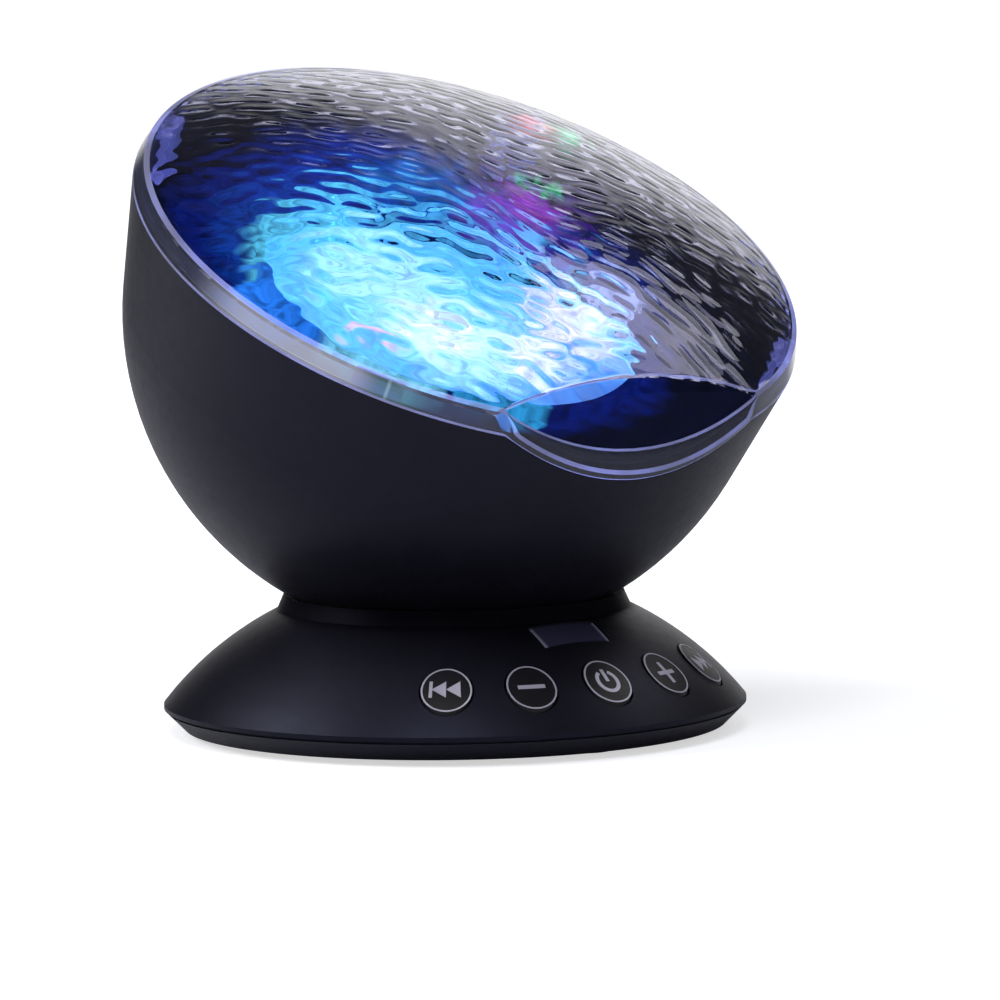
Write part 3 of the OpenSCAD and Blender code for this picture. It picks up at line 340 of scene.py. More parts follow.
class ShellColours(bpy.types.PropertyGroup):
    """Colours of the outer pieces, and the strength of the light inside."""

    shell: bpy.props.FloatVectorProperty(
        name="Shell", description="Moulded black of the bowl and the base",
        default=linear("#0c0c11"), size=4, min=0, max=1, subtype="COLOR",
    )
    dome: bpy.props.FloatVectorProperty(
        name="Dome", description="Tint of the clear dome",
        default=linear("#e6e5ff"), size=4, min=0, max=1, subtype="COLOR",
    )
    ink: bpy.props.FloatVectorProperty(
        name="Ink", description="Printed marks on the keys",
        default=linear("#c0bdcf"), size=4, min=0, max=1, subtype="COLOR",
    )
    glow: bpy.props.FloatProperty(
        name="Glow", description="Strength of the light in the wave lens",
        default=1.0, min=0, max=5,
    )


class CameraView(bpy.types.PropertyGroup):
    """Where the camera stands, and where it points."""

    azimuth: bpy.props.FloatProperty(
        name="Azimuth", description="Turn from the front",
        default=math.radians(-35.3), subtype="ANGLE",
    )
    elevation: bpy.props.FloatProperty(
        name="Elevation", description="Height above the horizon",
        default=math.radians(4.52), subtype="ANGLE",
    )
    roll: bpy.props.FloatProperty(
        name="Roll", description="Turn about the line of sight",
        default=math.radians(-0.85), subtype="ANGLE",
    )
    distance: bpy.props.FloatProperty(
        name="Distance", description="From the aim point to the camera",
        default=0.9814, unit="LENGTH",
    )
    aim_height: bpy.props.FloatProperty(
        name="Aim height", description="Height of the aim point on the base's axis",
        default=0.058887, unit="LENGTH",
    )
    focal: bpy.props.FloatProperty(
        name="Focal length", description="In widths of the picture",
        default=5.3315, min=1, max=20,
    )
    aim_right: bpy.props.FloatProperty(
        name="Aim right", description="Middle of the picture, right of the aim point, in picture widths",
        default=0.0490,
    )
    aim_down: bpy.props.FloatProperty(
        name="Aim down", description="Middle of the picture, below the aim point, in picture widths",
        default=0.0907,
    )


def head_points(radius, turn, height):
    """Row points, in metres, of head cylinder coordinates in millimetres; turn is from the front."""
    x, y = radius * np.sin(turn), -radius * np.cos(turn)
    up = y * math.sin(TILT) + height * math.cos(TILT) + TILT_Z
    back = y * math.cos(TILT) - height * math.sin(TILT)
    return np.stack(np.broadcast_arrays(x, back, up), -1) * MM


def put_mesh(name, points, faces, finishes=None):
    """A new piece with its place in its mesh: doubles merged, faces outwards, bends kept sharp."""
    mesh = bpy.data.meshes.new(name)
    mesh.from_pydata(points.reshape(-1, 3), [], faces)
    if finishes is not None:
        mesh.polygons.foreach_set("material_index", finishes)
    work = bmesh.new()
    work.from_mesh(mesh)
    bmesh.ops.remove_doubles(work, verts=work.verts, dist=MERGE_D)
    bmesh.ops.dissolve_degenerate(work, edges=work.edges, dist=SLIVER_D)
    bmesh.ops.recalc_face_normals(work, faces=work.faces)
    work.to_mesh(mesh)
    work.free()
    mesh.shade_smooth()
    mesh.set_sharp_from_angle(angle=SHARP_ANGLE)
    piece = bpy.data.objects.new(name, mesh)
    bpy.context.scene.collection.objects.link(piece)
    return piece


def sheet_faces(rows, columns, wrap):
    """Quads of a grid of rows by columns, with the columns joined round where wrap is set."""
    across = columns if wrap else columns - 1
    row, column = np.meshgrid(np.arange(rows - 1), np.arange(across), indexing="ij")
    beside = (column + 1) % columns
    quads = [
        row * columns + column,
        row * columns + beside,
        (row + 1) * columns + beside,
        (row + 1) * columns + column,
    ]
    return np.stack(quads, -1).reshape(-1, 4)


def between(start, end, steps):
    """Points from start to end, without the end, as steps rows."""
    return start + (end - start) * (np.arange(steps) / steps)[:, None, None]


def scatter(step, start):
    """One share from 0 to 1 for each wave: the multiples of a step, less their whole parts."""
    return (np.arange(WAVE_COUNT) * step + start) % 1


def water(x, y, sizes):
    """Water relief, from 0 at a crest to 1 in a trough.

    A sum of plane waves whose headings fan out about one direction and whose lengths vary about the
    ripple spacing, after the plane has been bent by three long slow waves.
    """
    along = x * math.cos(sizes.heading) + y * math.sin(sizes.heading)
    across = y * math.cos(sizes.heading) - x * math.sin(sizes.heading)
    sway = SWAY_H * np.sin(along / SWAY_RUN + SWAY_START)
    skew = SKEW_H * np.sin(along / SKEW_RUN + across / SKEW_ACROSS)
    bent = across + sway + skew
    run = along + PULL_H * np.sin(across / PULL_RUN + PULL_START)
    fan = WAVE_FAN * (2 * scatter(*FAN_SCATTER) - 1)
    length = sizes.across * (WAVE_SHORT + WAVE_SPREAD * scatter(*LENGTH_SCATTER))
    phase = 2 * np.pi * scatter(*PHASE_SCATTER)
    ahead = bent[..., None] * np.cos(fan) + run[..., None] * np.sin(fan) / sizes.stretch
    total = np.sin(ahead * 2 * np.pi / length + phase).sum(-1) / math.sqrt(WAVE_COUNT / 2)
    return 0.5 - 0.5 * np.tanh(WAVE_PRESS * total)


def flare_line(inset):
    """Radius of the flared wall at height 0, drawn in by inset, and its growth with height."""
    return (BALL_R - inset) / math.cos(FLARE), math.tan(FLARE)


def skirt_line(inset):
    """Radius of the skirt's line at height 0, drawn in by inset, and its growth with height."""
    start, growth = flare_line(inset)
    low_r = start + growth * EDGE_Z
    growth = (SKIRT_TOP_R - inset - low_r) / SKIRT_H
    return low_r - growth * EDGE_Z, growth


def meet_line(lean, distance, line):
    """Height at which the front plane crosses a straight wall, for each turn round the head."""
    start, growth = line
    return (distance - lean * start) / (WINDOW_RISE + lean * growth)


def meet_cap(lean, distance, radius):
    """Radius and height of the upper point where the front plane crosses the cap, for each turn."""
    size = np.hypot(lean, WINDOW_RISE)
    near = (distance - WINDOW_RISE * CAP_Z) / size
    reach = np.sqrt(np.maximum(radius**2 - near**2, 0))
    across = (lean * near - WINDOW_RISE * reach) / size
    return across, CAP_Z + (WINDOW_RISE * near + lean * reach) / size


def profile_row(radius, height):
    """One row of the dome's profile: its radius and height in every column."""
    row = np.empty((DOME_COLUMNS, 2))
    row[:, 0] = radius
    row[:, 1] = height
    return row


def wall_cross(lean, distance, inset):
    """Row where the front plane crosses the flared wall or, above the bowl's edge, the skirt."""
    flare, skirt = flare_line(inset), skirt_line(inset)
    on_flare = meet_line(lean, distance, flare)
    low = on_flare < EDGE_Z
    height = np.where(low, on_flare, meet_line(lean, distance, skirt))
    start = np.where(low, flare[0], skirt[0])
    growth = np.where(low, flare[1], skirt[1])
    return profile_row(start + growth * height, height)


def on_cap(polar, radius):
    """Rows on a sphere round the cap's centre, at an angle from the head's axis."""
    return np.stack(np.broadcast_arrays(radius * np.sin(polar), CAP_Z + radius * np.cos(polar)), -1)


def cap_angle(row):
    """Angle of a row's points from the head's axis, seen from the cap's centre."""
    return np.arctan2(row[:, 0], row[:, 1] - CAP_Z)


def relief(polar, edge_polar, turn, sizes):
    """Depth of the water relief on the cap, faded out smoothly to the angle of the cap's edge."""
    share = np.clip((edge_polar - polar) * CAP_R / RIPPLE_FADE, 0, 1)
    fade = share * share * (3 - 2 * share)
    radius = CAP_R * np.sin(polar)
    return sizes.depth * fade * water(radius * np.sin(turn), -radius * np.cos(turn), sizes)


def rounded(before, corner, after, size, steps):
    """Rows that round a corner off between the points before and after it, by a quadratic curve."""

    def leg(end):
        """The way from the corner to an end, cut to the rounding's size or a share of a short side."""
        way = end - corner
        length = np.maximum(np.linalg.norm(way, axis=1), TINY)
        return way * np.minimum(size / length, ROUND_SHARE)[:, None]

    share = np.linspace(0, 1, steps)[:, None, None]
    return corner + leg(before) * (1 - share) ** 2 + leg(after) * share**2


def dome_foot(lean):
    """Outer corner, step and inner corner of the foot: level on the bowl's edge, lower in its notch."""
    flare, plug = flare_line(0), flare_line(DOME_WALL + RUN_GAP)
    notch_z = np.minimum(meet_line(lean, NOTCH_D, flare), EDGE_Z)
    step_z = np.minimum(meet_line(lean, NOTCH_D, plug), EDGE_Z)
    inner_z = np.minimum(meet_line(lean, BACK_D, plug), EDGE_Z)
    # Along the level edge the step runs out where the notch's plane comes up through it
    level_r = (NOTCH_D - WINDOW_RISE * EDGE_Z) / np.maximum(lean, LEAN_MIN)
    level_r = np.clip(level_r, plug[0] + plug[1] * EDGE_Z, EDGE_R)
    step_r = np.where(step_z < EDGE_Z, plug[0] + plug[1] * step_z, level_r)
    outer = profile_row(flare[0] + flare[1] * notch_z, notch_z)
    inner = profile_row(plug[0] + plug[1] * inner_z, inner_z)
    return outer, profile_row(step_r, step_z), inner


def eye_window(turn, lean, facet, low, top):
    """Columns that the eye-shaped window reaches, the row of its lower edge, and that row's sunk floor.

    The edge is a circle in the front plane. Each column is searched upwards along the plane, from its
    low to its top point, for the first point inside the circle.
    """
    share = np.linspace(0, 1, EYE_STEPS)[:, None]
    along_r = low[:, 0] + (top[:, 0] - low[:, 0]) * share
    along_z = low[:, 1] + (top[:, 1] - low[:, 1]) * share
    climb = -along_r * np.cos(turn) * WINDOW_RISE + along_z * WINDOW_REACH
    inside = np.hypot(along_r * np.sin(turn), climb - (EYE_R - EYE_DROP)) < EYE_R
    has_eye = (inside.any(0) & facet[:, 0])[:, None]
    first = inside.argmax(0), np.arange(DOME_COLUMNS)
    edge = np.where(has_eye, profile_row(along_r[first], along_z[first]), top)
    tilt = np.hypot(lean, WINDOW_RISE)[:, None]
    sink = profile_row(lean, WINDOW_RISE) / tilt * (WINDOW_D - EYE_D) / tilt
    return has_eye, edge, np.where(has_eye, edge - sink, edge)


def dome_inside(turn, lean, low_inner, sizes):
    """Inner cap from its pole, its edge, and the wall's lower end.

    It is flat behind the window, with a fainter relief under the cap and a plain corner above the skirt.
    """
    start, growth = skirt_line(DOME_WALL)
    radius = CAP_R - DOME_WALL
    # The corner's height is the upper root of the quadratic where the skirt's line meets the inner cap
    half = start * growth - CAP_Z
    full = growth**2 + 1
    corner_z = (-half + math.sqrt(half**2 - full * (start**2 + CAP_Z**2 - radius**2))) / full
    corner = profile_row(start + growth * corner_z, corner_z)
    facet = (lean * corner[:, 0] + WINDOW_RISE * corner_z > BACK_D)[:, None]
    low = np.where(facet, wall_cross(lean, BACK_D, DOME_WALL), corner)
    low = np.where(low_inner[:, 1:] < EDGE_Z, low_inner, low)
    edge = np.where(facet, profile_row(*meet_cap(lean, BACK_D, radius)), corner)
    edge_polar = cap_angle(edge)
    polar = edge_polar * (np.arange(INNER_ROWS) / INNER_ROWS)[:, None]
    cap = on_cap(polar, radius - INNER_SHARE * relief(polar, edge_polar, turn, sizes))
    return cap, edge, low


def dome_rows(sizes):
    """Rows of the dome from its inner pole, down inside, round its foot, up outside, to its outer pole.

    Each column is the dome's profile at one turn from the front. The front plane cuts the profile, the
    eye-shaped window is sunk into that plane, and the cap carries the water relief, fainter inside.
    """
    even = np.linspace(-np.pi, np.pi, DOME_COLUMNS, endpoint=False)
    turn = even - FRONT_CROWD * np.sin(even)
    lean = np.cos(turn) * WINDOW_REACH
    low_outer, low_step, low_inner = dome_foot(lean)
    inner_cap, inner_edge, inner_low = dome_inside(turn, lean, low_inner, sizes)

    # Where the front plane cuts the skirt, the column has a flat face; elsewhere that shrinks to a point
    facet = (lean * SKIRT_TOP_R + WINDOW_RISE * SKIRT_TOP_Z > WINDOW_D)[:, None]
    rim_polar = math.atan2(SKIRT_TOP_R, SKIRT_TOP_Z - CAP_Z)
    rim = on_cap(np.full(DOME_COLUMNS, rim_polar - RIM_IN / CAP_R), CAP_R)
    front_low = wall_cross(lean, WINDOW_D, 0)
    front_low = np.where(facet, front_low, profile_row(SKIRT_TOP_R, SKIRT_TOP_Z))
    front_top = np.where(facet, profile_row(*meet_cap(lean, WINDOW_D, CAP_R)), rim)
    has_eye, eye_edge, eye_floor = eye_window(turn, lean, facet, front_low, front_top)

    # Upper edge of the flat front, where it runs out through the rippled cap
    distance = np.where(has_eye[:, 0], EYE_D, WINDOW_D)
    smooth = profile_row(*meet_cap(lean, distance, CAP_R))
    rough = np.where(facet[:, 0], relief(cap_angle(smooth), rim_polar, turn, sizes), 0)
    cap_edge = np.where(facet, profile_row(*meet_cap(lean, distance, CAP_R - rough)), rim)

    # Outer cap from there to the pole, each row lowered along the cap's own normal
    polar = cap_angle(cap_edge) * (1 - np.arange(1, CAP_ROWS + 1) / CAP_ROWS)[:, None]
    cap = on_cap(polar, CAP_R - relief(polar, rim_polar, turn, sizes))

    # Up the wall from the foot comes the bowl's edge, or the front's lower edge where that is first
    band = np.where(front_low[:, 1:] < EDGE_Z, front_low, profile_row(EDGE_R, EDGE_Z))
    wall_next = np.where(np.abs(band - low_outer).max(1)[:, None] < BAND_MIN, front_low, band)
    low_edge = rounded(low_step, low_outer, wall_next, *FOOT_ROUND)
    top_edge = rounded(wall_next, front_low, eye_edge, *TOP_ROUND)
    eye_lip = rounded(top_edge[-1], eye_edge, eye_floor, *EYE_ROUND)
    brow = rounded(eye_floor, cap_edge, cap[0], *BROW_ROUND)
    # Each part is its rows and their finish; a plain stretch between two edges has 1 to 4 rows
    parts = [
        (inner_cap, CAP_SLOT),
        (between(inner_edge, inner_low, 3), WINDOW_SLOT),
        (between(inner_low, low_inner, 2), SKIRT_SLOT),
        (between(low_inner, low_step, 1), SKIRT_SLOT),
        (low_step[None], SKIRT_SLOT),
        (low_edge[:-1], EDGE_SLOT),
        (between(low_edge[-1], top_edge[0], 4), SKIRT_SLOT),
        (top_edge[:-1], EDGE_SLOT),
        (between(top_edge[-1], eye_lip[0], 3), np.where(has_eye[:, 0], SKIRT_SLOT, EDGE_SLOT)),
        (eye_lip[:-1], EDGE_SLOT),
        (between(eye_lip[-1], eye_floor, 1), SKIRT_SLOT),
        (between(eye_floor, brow[0], 4), WINDOW_SLOT),
        (brow[:-1], EDGE_SLOT),
        (brow[-1:], CAP_SLOT),
        (cap, CAP_SLOT),
    ]
    profile = np.concatenate([rows for rows, _ in parts])
    finish = np.concatenate(
        [np.broadcast_to(slot, (len(rows), DOME_COLUMNS)) for rows, slot in parts]
    )
    return head_points(profile[..., 0] - DRAWN_IN, turn[None], profile[..., 1]), finish


def tab_boxes():
    """Boxes of one snap tab, its root and its hook: outwards, across and up from the head's axis."""
    low_z = EDGE_Z - TAB_L
    start, growth = flare_line(DOME_WALL)
    out = start + growth * low_z - RUN_GAP
    wall = start + growth * EDGE_Z
    half = TAB_W / 2
    return [
        ((out - TAB_T, -half, low_z), (out, half, EDGE_Z + TAB_ROOT)),
        ((out, -half, EDGE_Z), (wall + TAB_SUNK, half, EDGE_Z + TAB_ROOT)),
        ((out, -half, low_z), (out + HOOK_OUT, half, low_z + HOOK_H)),
    ]


def mark_points(turn, across, up, proud):
    """Row points on a key's face: across and up its slope from its middle, and proud of it.

    The bell's profile is an arc over the chord from its lip to its rim, with the swell as its height,
    and the key's face lies a little outside that arc.
    """
    chord = np.array([RIM_R - LIP_R, RIM_Z - LIP_Z])
    span = np.hypot(*chord)
    arc_r = (span**2 / 8 + BELL_SWELL**2 / 2) / BELL_SWELL
    middle = np.array([RIM_R + LIP_R, RIM_Z + LIP_Z]) / 2
    centre = middle + np.array([-chord[1], chord[0]]) / span * (BELL_SWELL - arc_r)
    polar = math.acos((KEY_RING_R - centre[0]) / arc_r) + up / arc_r
    size = arc_r + KEY_PROUD + proud
    radius = centre[0] + size * np.cos(polar)
    height = centre[1] + size * np.sin(polar)
    angle = turn + across / KEY_RING_R
    return np.stack([radius * np.cos(angle), radius * np.sin(angle), height], -1) * MM


def stroke(path, width, thickness, turn, closed):
    """Ink stroke: a flat profile carried along a path on the key's face, with a width at each point."""
    path = np.asarray(path, float)
    ahead = np.roll(path, -1, 0) - np.roll(path, 1, 0)
    if not closed:
        ahead[0], ahead[-1] = path[1] - path[0], path[-1] - path[-2]
    ahead /= np.linalg.norm(ahead, axis=1)[:, None]
    side = np.stack([-ahead[:, 1], ahead[:, 0]], -1) * (np.asarray(width) / 2)[:, None]
    left, right = path + side, path - side
    section = [
        (left, -INK_SUNK),
        (left, thickness),
        (right, thickness),
        (right, -INK_SUNK),
        (left, -INK_SUNK),
    ]
    rows = [mark_points(turn, edge[:, 0], edge[:, 1], proud) for edge, proud in section]
    count = len(path)
    faces = sheet_faces(len(rows), count, closed).tolist()
    if not closed:
        sides = len(section) - 1
        first = [k * count for k in range(sides)]
        last = [k * count + count - 1 for k in reversed(range(sides))]
        faces += [first, last]
    return np.concatenate(rows), faces


def straight(start, end, width, end_width=None, steps=7):
    """A straight stroke from start to end, whose width may change along it."""
    share = np.linspace(0, 1, steps)[:, None]
    path = np.array(start) + (np.array(end) - np.array(start)) * share
    last = width if end_width is None else end_width
    return path, width + (last - width) * share[:, 0], False


def arc(half_w, half_h, start, end, width, steps=64):
    """An oval stroke from one angle to another, or a full ring."""
    closed = abs(end - start) >= 360
    angle = np.radians(np.linspace(start, end, steps, endpoint=not closed))
    path = np.stack([half_w * np.cos(angle), half_h * np.sin(angle)], -1)
    return path, np.full(steps, width), closed


def sign_strokes(sign, sizes):
    """Strokes of one key's sign, on its face: skip back or on, less, more, or power."""
    bar = sizes.stroke
    if sign == "minus":
        return [straight((-MINUS_HALF, 0), (MINUS_HALF, 0), bar)]
    if sign == "plus":
        return [
            straight((-PLUS_HALF_W, 0), (PLUS_HALF_W, 0), bar),
            straight((0, -PLUS_HALF_H), (0, PLUS_HALF_H), bar),
        ]
    if sign == "power":
        thin = bar * POWER_THIN
        return [
            arc(POWER_HALF_W, POWER_HALF_H, POWER_START, POWER_END, thin),
            straight((0, POWER_LOW), (0, POWER_TOP), thin),
        ]
    way = -1 if sign == "previous" else 1
    bar_x = way * SKIP_BAR_X
    return [
        straight((bar_x, -SKIP_BAR_HALF), (bar_x, SKIP_BAR_HALF), bar * SKIP_THIN),
        straight((way * ARROW_BACK, 0), (way * ARROW_TIP, 0), ARROW_W, ARROW_TIP_W),
        straight((way * -ARROW_TIP, 0), (way * -ARROW_BACK, 0), ARROW_W, ARROW_TIP_W),
    ]


def add(tree, kind, links=None, **settings):
    """Add a node, set its properties, and give each named or numbered input a value or a link."""
    node = tree.nodes.new(kind)
    for name, value in settings.items():
        setattr(node, name, value)
    for socket, value in (links or {}).items():
        if isinstance(value, bpy.types.NodeSocket):
            tree.links.new(value, node.inputs[socket])
        else:
            node.inputs[socket].default_value = value
    return node


def material(name):
    """A new node material with its tree, its Principled shader and Object coordinates in millimetres."""
    made = bpy.data.materials.new(name)
    made.use_nodes = True
    tree = made.node_tree
    tree.nodes.clear()
    shader = add(tree, "ShaderNodeBsdfPrincipled")
    add(tree, "ShaderNodeOutputMaterial", {"Surface": shader.outputs[0]})
    place = add(tree, "ShaderNodeTexCoord").outputs["Object"]
    scaled = add(tree, "ShaderNodeVectorMath", {0: place, "Scale": 1 / MM}, operation="SCALE")
    return made, tree, shader, scaled.outputs[0]


def put(shader, **values):
    """Set a shader's own sockets; underscores in the names stand for spaces."""
    for name, value in values.items():
        shader.inputs[name.replace("_", " ")].default_value = value


def grain(tree, place, size, detail=2.0, low=0.0, high=1.0):
    """Grey noise whose grains measure size millimetres, stretched to run from low to high."""
    noise = add(tree, "ShaderNodeTexNoise", {"Vector": place, "Scale": 1 / size, "Detail": detail})
    span = {0: noise.outputs[0], 1: NOISE_LOW, 2: NOISE_HIGH, 3: low, 4: high}
    return add(tree, "ShaderNodeMapRange", span).outputs[0]


def head_place(tree, place):
    """Place in the head's own frame, flat along its axis, from Object coordinates in millimetres."""
    own = add(
        tree,
        "ShaderNodeMapping",
        {"Vector": place, "Location": (0, 0, TILT_Z), "Rotation": (TILT, 0, 0)},
        vector_type="TEXTURE",
    ).outputs[0]
    return add(tree, "ShaderNodeVectorMath", {0: own, 1: (1, 1, 0)}, operation="MULTIPLY").outputs[0]


def light_patches(tree, place, ground, patches, ragged, grain_mm, core=0.3):
    """Colour field of soft round patches laid over a ground, their edges made ragged by noise.

    Each patch is its centre and radius in millimetres and its colour, in the head's frame; ragged is how
    far noise of that grain shifts the edges, and core the share of the radius with the full colour.
    """
    noise = add(tree, "ShaderNodeTexNoise", {"Vector": place, "Scale": 1 / grain_mm, "Detail": 3.0})
    shift = add(
        tree,
        "ShaderNodeVectorMath",
        {0: noise.outputs["Color"], 1: (0.5, 0.5, 0.5)},
        operation="SUBTRACT",
    )
    moved = add(
        tree,
        "ShaderNodeVectorMath",
        {0: shift.outputs[0], 1: (ragged, ragged, 0), 2: place},
        operation="MULTIPLY_ADD",
    )
    total = linear(ground)
    for x, y, radius, colour in patches:
        away = add(
            tree, "ShaderNodeVectorMath", {0: moved.outputs[0], 1: (x, y, 0)}, operation="DISTANCE"
        )
        near = add(
            tree,
            "ShaderNodeMapRange",
            {0: away.outputs["Value"], 1: radius, 2: radius * core},
            interpolation_type="SMOOTHSTEP",
        )
        laid = {0: near.outputs[0], 6: total, 7: linear(colour)}
        total = add(tree, "ShaderNodeMix", laid, data_type="RGBA").outputs[2]
    return total


def textured(name, colour, other, roughness, grain_mm, bump_mm, **values):
    """A moulded or pressed surface: two close colours in patches, uneven gloss, fine raised grain."""
    made, tree, shader, place = material(name)
    patches = grain(tree, place, TONE_MM)
    mix = add(tree, "ShaderNodeMix", {0: patches, 6: colour, 7: other}, data_type="RGBA")
    tree.links.new(mix.outputs[2], shader.inputs["Base Color"])
    gloss = grain(
        tree, place, grain_mm * GLOSS_GRAINS, 3.0, roughness - GLOSS_STRAY, roughness + GLOSS_STRAY
    )
    tree.links.new(gloss, shader.inputs["Roughness"])
    fine = grain(tree, place, grain_mm, 3.0)
    raised = {"Strength": BUMP_STRENGTH, "Distance": bump_mm * MM, "Height": fine}
    bump = add(tree, "ShaderNodeBump", raised)
    tree.links.new(bump.outputs[0], shader.inputs["Normal"])
    put(shader, **values)
    return made


def finish_nodes(made, *names):
    """Give CAD nodes a finish."""
    for name in names:
        mesh = frame["nodes"][name].data
        mesh.materials.clear()
        mesh.materials.append(made)


class PROJECTOR_OT_stage(bpy.types.Operator):
    """Floor, soft lamps, white surround and the camera at the photograph's place"""

    bl_idname = "projector.stage"
    bl_label = "Stage"

    def execute(self, context):
        scene = context.scene
        scene.view_settings.view_transform = "Standard"
        self.make_world(scene)
        self.make_floor(scene)
        self.make_lamps(scene)
        self.make_camera(scene, scene.projector_view)
        return {"FINISHED"}

    def make_world(self, scene):
        """White to the camera, a white screen behind right to gloss and glass, and a soft light."""
        world = bpy.data.worlds.new("studio")
        world.use_nodes = True
        scene.world = world
        tree = world.node_tree
        tree.nodes.clear()
        path = add(tree, "ShaderNodeLightPath").outputs
        rays = {0: path["Is Camera Ray"], 1: path["Is Glossy Ray"]}
        seen = add(tree, "ShaderNodeMath", rays, operation="MAXIMUM").outputs[0]
        rays = {0: seen, 1: path["Is Transmission Ray"]}
        seen = add(tree, "ShaderNodeMath", rays, operation="MAXIMUM").outputs[0]
        light = add(tree, "ShaderNodeBackground", {0: linear("#f1f3fb"), 1: SOFT_LIGHT})
        way = add(tree, "ShaderNodeTexCoord").outputs["Generated"]
        high = add(tree, "ShaderNodeVectorMath", {0: way, 1: SCREEN_TOP}, operation="DOT_PRODUCT")
        fall = add(
            tree,
            "ShaderNodeMapRange",
            {0: high.outputs["Value"], 1: SCREEN_TOP_IN, 2: SCREEN_TOP_OUT, 3: 1.0, 4: SCREEN_ABOVE},
            interpolation_type="SMOOTHSTEP",
        )
        flat = add(tree, "ShaderNodeVectorMath", {0: way, 1: (1, 1, 0)}, operation="MULTIPLY").outputs[0]
        flat = add(tree, "ShaderNodeVectorMath", {0: flat}, operation="NORMALIZE").outputs[0]
        behind = add(tree, "ShaderNodeVectorMath", {0: flat, 1: SCREEN_WAY}, operation="DOT_PRODUCT")
        toward = behind.outputs["Value"]
        side = add(
            tree,
            "ShaderNodeMapRange",
            {0: toward, 1: SCREEN_SIDE_OUT, 2: SCREEN_SIDE_IN, 3: SCREEN_BESIDE, 4: 1.0},
            interpolation_type="SMOOTHSTEP",
        )
        parts = {0: fall.outputs[0], 1: side.outputs[0]}
        screen = add(tree, "ShaderNodeMath", parts, operation="MULTIPLY").outputs[0]
        parts = {0: screen, 1: path["Is Camera Ray"]}
        shown = add(tree, "ShaderNodeMath", parts, operation="MAXIMUM").outputs[0]
        white = add(tree, "ShaderNodeBackground", {0: linear("#ffffff"), 1: shown})
        parts = {0: seen, 1: light.outputs[0], 2: white.outputs[0]}
        mixed = add(tree, "ShaderNodeMixShader", parts)
        add(tree, "ShaderNodeOutputWorld", {0: mixed.outputs[0]})

    def make_floor(self, scene):
        """Pale floor, white to camera, gloss and glass away from the object, that keeps its shadow."""
        mesh = bpy.data.meshes.new("floor")
        half = FLOOR_HALF
        corners = [(-half, -half, 0), (half, -half, 0), (half, half, 0), (-half, half, 0)]
        mesh.from_pydata(corners, [], [(0, 1, 2, 3)])
        floor = bpy.data.objects.new("floor", mesh)
        scene.collection.objects.link(floor)
        mesh.materials.append(self.floor_finish())

    def floor_finish(self):
        """White paper sweep: dull and even, lifted to pure white away from the object."""
        made = bpy.data.materials.new("paper_sweep_white")
        made.use_nodes = True
        tree = made.node_tree
        tree.nodes.clear()
        paper = add(tree, "ShaderNodeBsdfDiffuse", {0: linear("#dcdde2")})
        place = add(tree, "ShaderNodeTexCoord").outputs["Object"]
        away = add(tree, "ShaderNodeVectorMath", {0: place}, operation="LENGTH").outputs["Value"]
        path = add(tree, "ShaderNodeLightPath").outputs
        span = {0: away, 1: FLOOR_NEAR, 2: FLOOR_WHITE, 3: FLOOR_LIFT, 4: 1.0}
        near_white = add(tree, "ShaderNodeMapRange", span).outputs[0]
        flat = add(tree, "ShaderNodeVectorMath", {0: place}, operation="NORMALIZE").outputs[0]
        behind = add(tree, "ShaderNodeVectorMath", {0: flat, 1: SCREEN_WAY}, operation="DOT_PRODUCT")
        span = {0: behind.outputs["Value"], 1: SCREEN_SIDE_OUT, 2: SCREEN_SIDE_IN}
        toward = add(tree, "ShaderNodeMapRange", span).outputs[0]
        span = {0: away, 1: FLOOR_DARK, 2: FLOOR_BRIGHT, 4: toward}
        far_white = add(tree, "ShaderNodeMapRange", span).outputs[0]
        parts = {0: path["Is Camera Ray"], 1: near_white}
        shown = add(tree, "ShaderNodeMath", parts, operation="MULTIPLY").outputs[0]
        parts = {0: path["Is Glossy Ray"], 1: path["Is Transmission Ray"]}
        other = add(tree, "ShaderNodeMath", parts, operation="MAXIMUM").outputs[0]
        parts = {0: other, 1: far_white, 2: shown}
        lift = add(tree, "ShaderNodeMath", parts, operation="MULTIPLY_ADD").outputs[0]
        glow = add(tree, "ShaderNodeEmission", {0: linear("#ffffff"), 1: lift})
        both = add(tree, "ShaderNodeAddShader", {0: paper.outputs[0], 1: glow.outputs[0]})
        add(tree, "ShaderNodeOutputMaterial", {0: both.outputs[0]})
        return made

    def make_lamps(self, scene):
        """Three large soft lamps, high on the left behind, on the right and over the left front."""
        aim = Vector((0, 0, LAMP_AIM_Z))
        for name, place, size, power in LAMPS:
            data = bpy.data.lights.new(name, "AREA")
            data.size = size
            data.energy = power
            lamp = bpy.data.objects.new(name, data)
            lamp.location = place
            lamp.rotation_euler = (aim - Vector(place)).to_track_quat("-Z", "Y").to_euler()
            scene.collection.objects.link(lamp)

